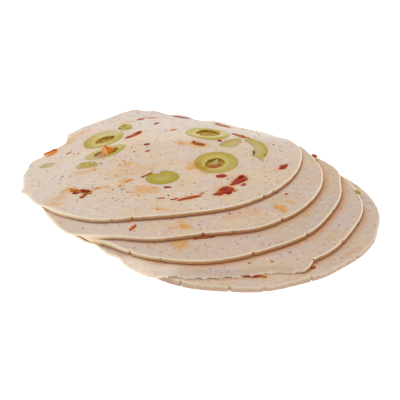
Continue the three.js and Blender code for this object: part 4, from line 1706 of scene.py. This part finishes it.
flakes = Shell()
for number, (level, at, size, turn, faded, browned, high) in enumerate(PIMENTO_FLAKES):
    flake(flakes, level, at, size, turn, high, 400 + 2 * number, fade=faded, brown=browned)
for number, at in enumerate(ORANGE_FLECKS):
    long_side = 1.1 + 0.5 * math.sin(5.0 * number)
    flake(flakes, TOP, at, (long_side, 0.8), 20 + 25 * math.sin(3.0 * number), 0.15, 600 + number, fade=0.9)
for number, (x, y, across) in enumerate(DARK_DOTS):
    flake(flakes, TOP, (x, y), (across, 0.7), 50, 0.2, 640 + number, brown=1.0, dark=0.6)
set_in_place(flakes.to_object("pimento_flakes", pimento), "pimento")

# %% Flakes of olive
OLIVE_FLAKES = [  # slice, at, size, turn, how pale, height
    (4, (-25.6, -9.6), (3.0, 1.6), 30, 0.0, 0.25),
    (4, (-21.9, -10.4), (3.4, 1.8), 60, 0.6, 0.3),
    (4, (-26.6, -12.6), (2.6, 1.8), 20, 0.9, 0.15),
    (4, (-10.4, 37.6), (3.4, 1.8), 80, 0.5, 0.6),
    (4, (-12.4, 41.4), (2.8, 1.6), 60, 0.2, 0.5),
    (4, (-9.6, 36.2), (2.6, 1.2), 30, 0.8, 0.25),
    (4, (-40.6, -0.8), (2.6, 1.6), 150, 1.0, 0.25),
    (4, (40.6, -6.6), (2.4, 1.3), 130, 0.6, 0.2),
    (1, (54.7, 10.9), (3.4, 1.8), 124, 0.0, 0.5),
]
flakes = Shell()
for number, (level, at, size, turn, paled, high) in enumerate(OLIVE_FLAKES):
    flake(flakes, level, at, size, turn, high, 700 + 2 * number, pale=paled)
set_in_place(flakes.to_object("olive_flakes", olive), "olive")

# %% [markdown]
# ## Grains of spice
# The paste is dotted with cracked pepper and bits of dried spice, well under a millimetre across. The
# finish has fine specks of its own, but the coarser grains stand out of the face and catch the light, so
# they are real lenses too. They are strewn by a seeded draw wherever a slice shows, which gives the same
# grains each run.

# %% Where the grains lie
GRAINS_PER_MM2 = 0.026


def grain_spots(level):
    draw = np.random.default_rng(1200 + level)
    count = int(GRAINS_PER_MM2 * math.pi * LOAF_RADIUS**2)
    spots = draw.uniform(-LOAF_RADIUS - 6, LOAF_RADIUS + 6, (2 * count, 2))
    sizes = 0.3 + 0.45 * draw.uniform(size=len(spots)) ** 2.5
    turns = draw.uniform(0, math.pi, len(spots))
    kinds = draw.uniform(size=len(spots))
    good = local_depth(level, level, spots) > 1.5
    if level < TOP:
        good &= local_depth(level + 1, level, spots) < -0.3
    for loop in pockets[level].values():
        good &= (distance_to(spots, loop) > 0.9) & ~inside_loop(spots, loop)
    return spots[good], sizes[good], turns[good], kinds[good]


print("grains on the top slice:", len(grain_spots(TOP)[0]))

# %% Finish of the grains
GRAIN_DARK, GRAIN_LIGHT = (0.30, 0.15, 0.06), (0.49, 0.30, 0.15)
GRAIN_RED, GRAIN_YELLOW = (0.46, 0.19, 0.09), (0.66, 0.34, 0.07)


def grain_finish():
    f = Finish("spice_grains")
    where = f.place()
    look = f.mix(f.ramp(f.noise(where, 0.5, 2), 0.35, 0.65), GRAIN_DARK, GRAIN_LIGHT)
    look = f.mix(f.paint("reddish"), look, GRAIN_RED)
    look = f.mix(f.paint("yellowish"), look, GRAIN_YELLOW)
    normal = f.bump(f.noise(where, 0.2, 2), 0.03)
    f.sockets({"Base Color": look, "Roughness": 0.5, "Specular IOR Level": 0.0, "Normal": normal})
    return f.material


grain_look = grain_finish()
print("finish of the grains:", grain_look.name)

# %% Strew the grains
GRAIN_SIDES = 7
GRAIN_ROWS = [(0.7, -0.5), (1.0, 0.1), (0.6, 0.9)]  # shares of the reach and of the height
GRAIN_RISE, GRAIN_TOP, GRAIN_BOTTOM = 0.08, 0.09, -0.15  # heights, as shares of the size


def add_grain(shell, middle, height, size, turn, kind):
    """Adds a very flat lens with an uneven outline."""
    paints = {"reddish": float(0.5 < kind < 0.85), "yellowish": float(kind > 0.85)}
    around = np.arange(GRAIN_SIDES) * 2 * math.pi / GRAIN_SIDES + turn
    reach = (size / 2) * (1 + 0.35 * np.cos(around - 2.7 * turn) ** 2)
    outline = np.stack([reach * np.cos(around), reach * np.sin(around)], axis=1)
    rows = []
    for share, part in GRAIN_ROWS:
        z = np.full(GRAIN_SIDES, height + GRAIN_RISE * size * part)
        rows.append(shell.add(np.column_stack([middle + share * outline, z]), **paints))
    shell.strip(rows)
    shell.fan_in(rows[-1], (*middle, height + GRAIN_TOP * size), **paints)
    shell.fan_in(rows[0][::-1], (*middle, height + GRAIN_BOTTOM * size), **paints)


grains = Shell()
for level in range(TOP + 1):
    spots, sizes, turns, kinds = grain_spots(level)
    heights = top_height(level, spots)
    for spot, height, size, turn, kind in zip(spots + MIDDLES[level], heights, sizes, turns, kinds):
        add_grain(grains, spot, height, size, turn, kind)
set_in_place(grains.to_object("spice_grains", grain_look), "meat")

# %% [markdown]
# ## Floor, light and camera
# The slices lie on a plain pale floor. The light is soft and comes mostly from above and behind, which
# leaves the front of each rim in shade and lays a soft shadow on the slice below. One large area lamp and
# an even world do that, and painted shade in the meat's colour deepens it under the rims. The camera looks
# down at 24.9 degrees from 70 centimetres with a long lens.

# %% Floor
FLOOR_WHITE = 0.6
FLOOR_GLOW = 0.95
FLOOR_REACH = 3.0
FLOOR_DROP = 0.0001
corners = [(x * FLOOR_REACH, y * FLOOR_REACH, 0) for x, y in ((-1, -1), (1, -1), (1, 1), (-1, 1))]
floor_mesh = bpy.data.meshes.new("floor")
floor_mesh.from_pydata(corners, [], [(0, 1, 2, 3)])
floor = bpy.data.objects.new("floor", floor_mesh)
bpy.context.scene.collection.objects.link(floor)
floor_finish = Finish("floor_pale")
floor_finish.sockets({
    "Base Color": (FLOOR_WHITE, FLOOR_WHITE, FLOOR_WHITE),
    "Roughness": 0.9,
    "Specular IOR Level": 0.0,
    "Emission Color": (1.0, 1.0, 1.0),
    "Emission Strength": FLOOR_GLOW,
})
floor_mesh.materials.append(floor_finish.material)
floor.location.z = -FLOOR_DROP
floor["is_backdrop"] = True
print("floor", 2 * FLOOR_REACH, "m wide")

# %% Lights
WORLD_LIGHT = 0.58
world = bpy.data.worlds.new("even_light")
bpy.context.scene.world = world
world.use_nodes = True
world.node_tree.nodes["Background"].inputs["Color"].default_value = (1, 1, 1, 1)
world.node_tree.nodes["Background"].inputs["Strength"].default_value = WORLD_LIGHT
LAMP_PLACE = (-0.12, 0.55, 1.05)
LAMP_SIZE = (1.0, 0.7)
LAMP_WATTS = 9.0
lamp_data = bpy.data.lights.new("lamp_behind", "AREA")
lamp_data.shape = "RECTANGLE"
lamp_data.size, lamp_data.size_y = LAMP_SIZE
lamp_data.energy = LAMP_WATTS
lamp = bpy.data.objects.new("lamp_behind", lamp_data)
lamp.location = LAMP_PLACE
lamp.rotation_euler = (-Vector(LAMP_PLACE)).to_track_quat("-Z", "Y").to_euler()
bpy.context.scene.collection.objects.link(lamp)
print("lamp of", LAMP_WATTS, "watts, and a world of", WORLD_LIGHT)

# %% Camera
ELEVATION = math.radians(24.898)
DISTANCE = 0.7
LENS = 174.22
SENSOR = 36.0
AIM = (-0.82, 0.16, 4.5)  # counted from the outlines' own point
aim = Vector(((AIM[0] + SHIFT[0]) * MM, (AIM[1] + SHIFT[1]) * MM, AIM[2] * MM))
camera_data = bpy.data.cameras.new("camera")
camera_data.sensor_width = SENSOR
camera_data.lens = LENS
camera = bpy.data.objects.new("camera", camera_data)
camera.location = aim + DISTANCE * Vector((0, -math.cos(ELEVATION), math.sin(ELEVATION)))
camera.rotation_euler = (math.pi / 2 - ELEVATION, 0, 0)
bpy.context.scene.collection.objects.link(camera)
bpy.context.scene.camera = camera
bpy.context.scene.view_settings.view_transform = "Standard"
print("camera at", tuple(round(v, 4) for v in camera.location))

# %% Sizes and the end
low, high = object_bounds()
sizes = {"cad": [list(cad_low), list(cad_high)], "visual": [list(low), list(high)]}
print("visual from", tuple(low), "to", tuple(high))
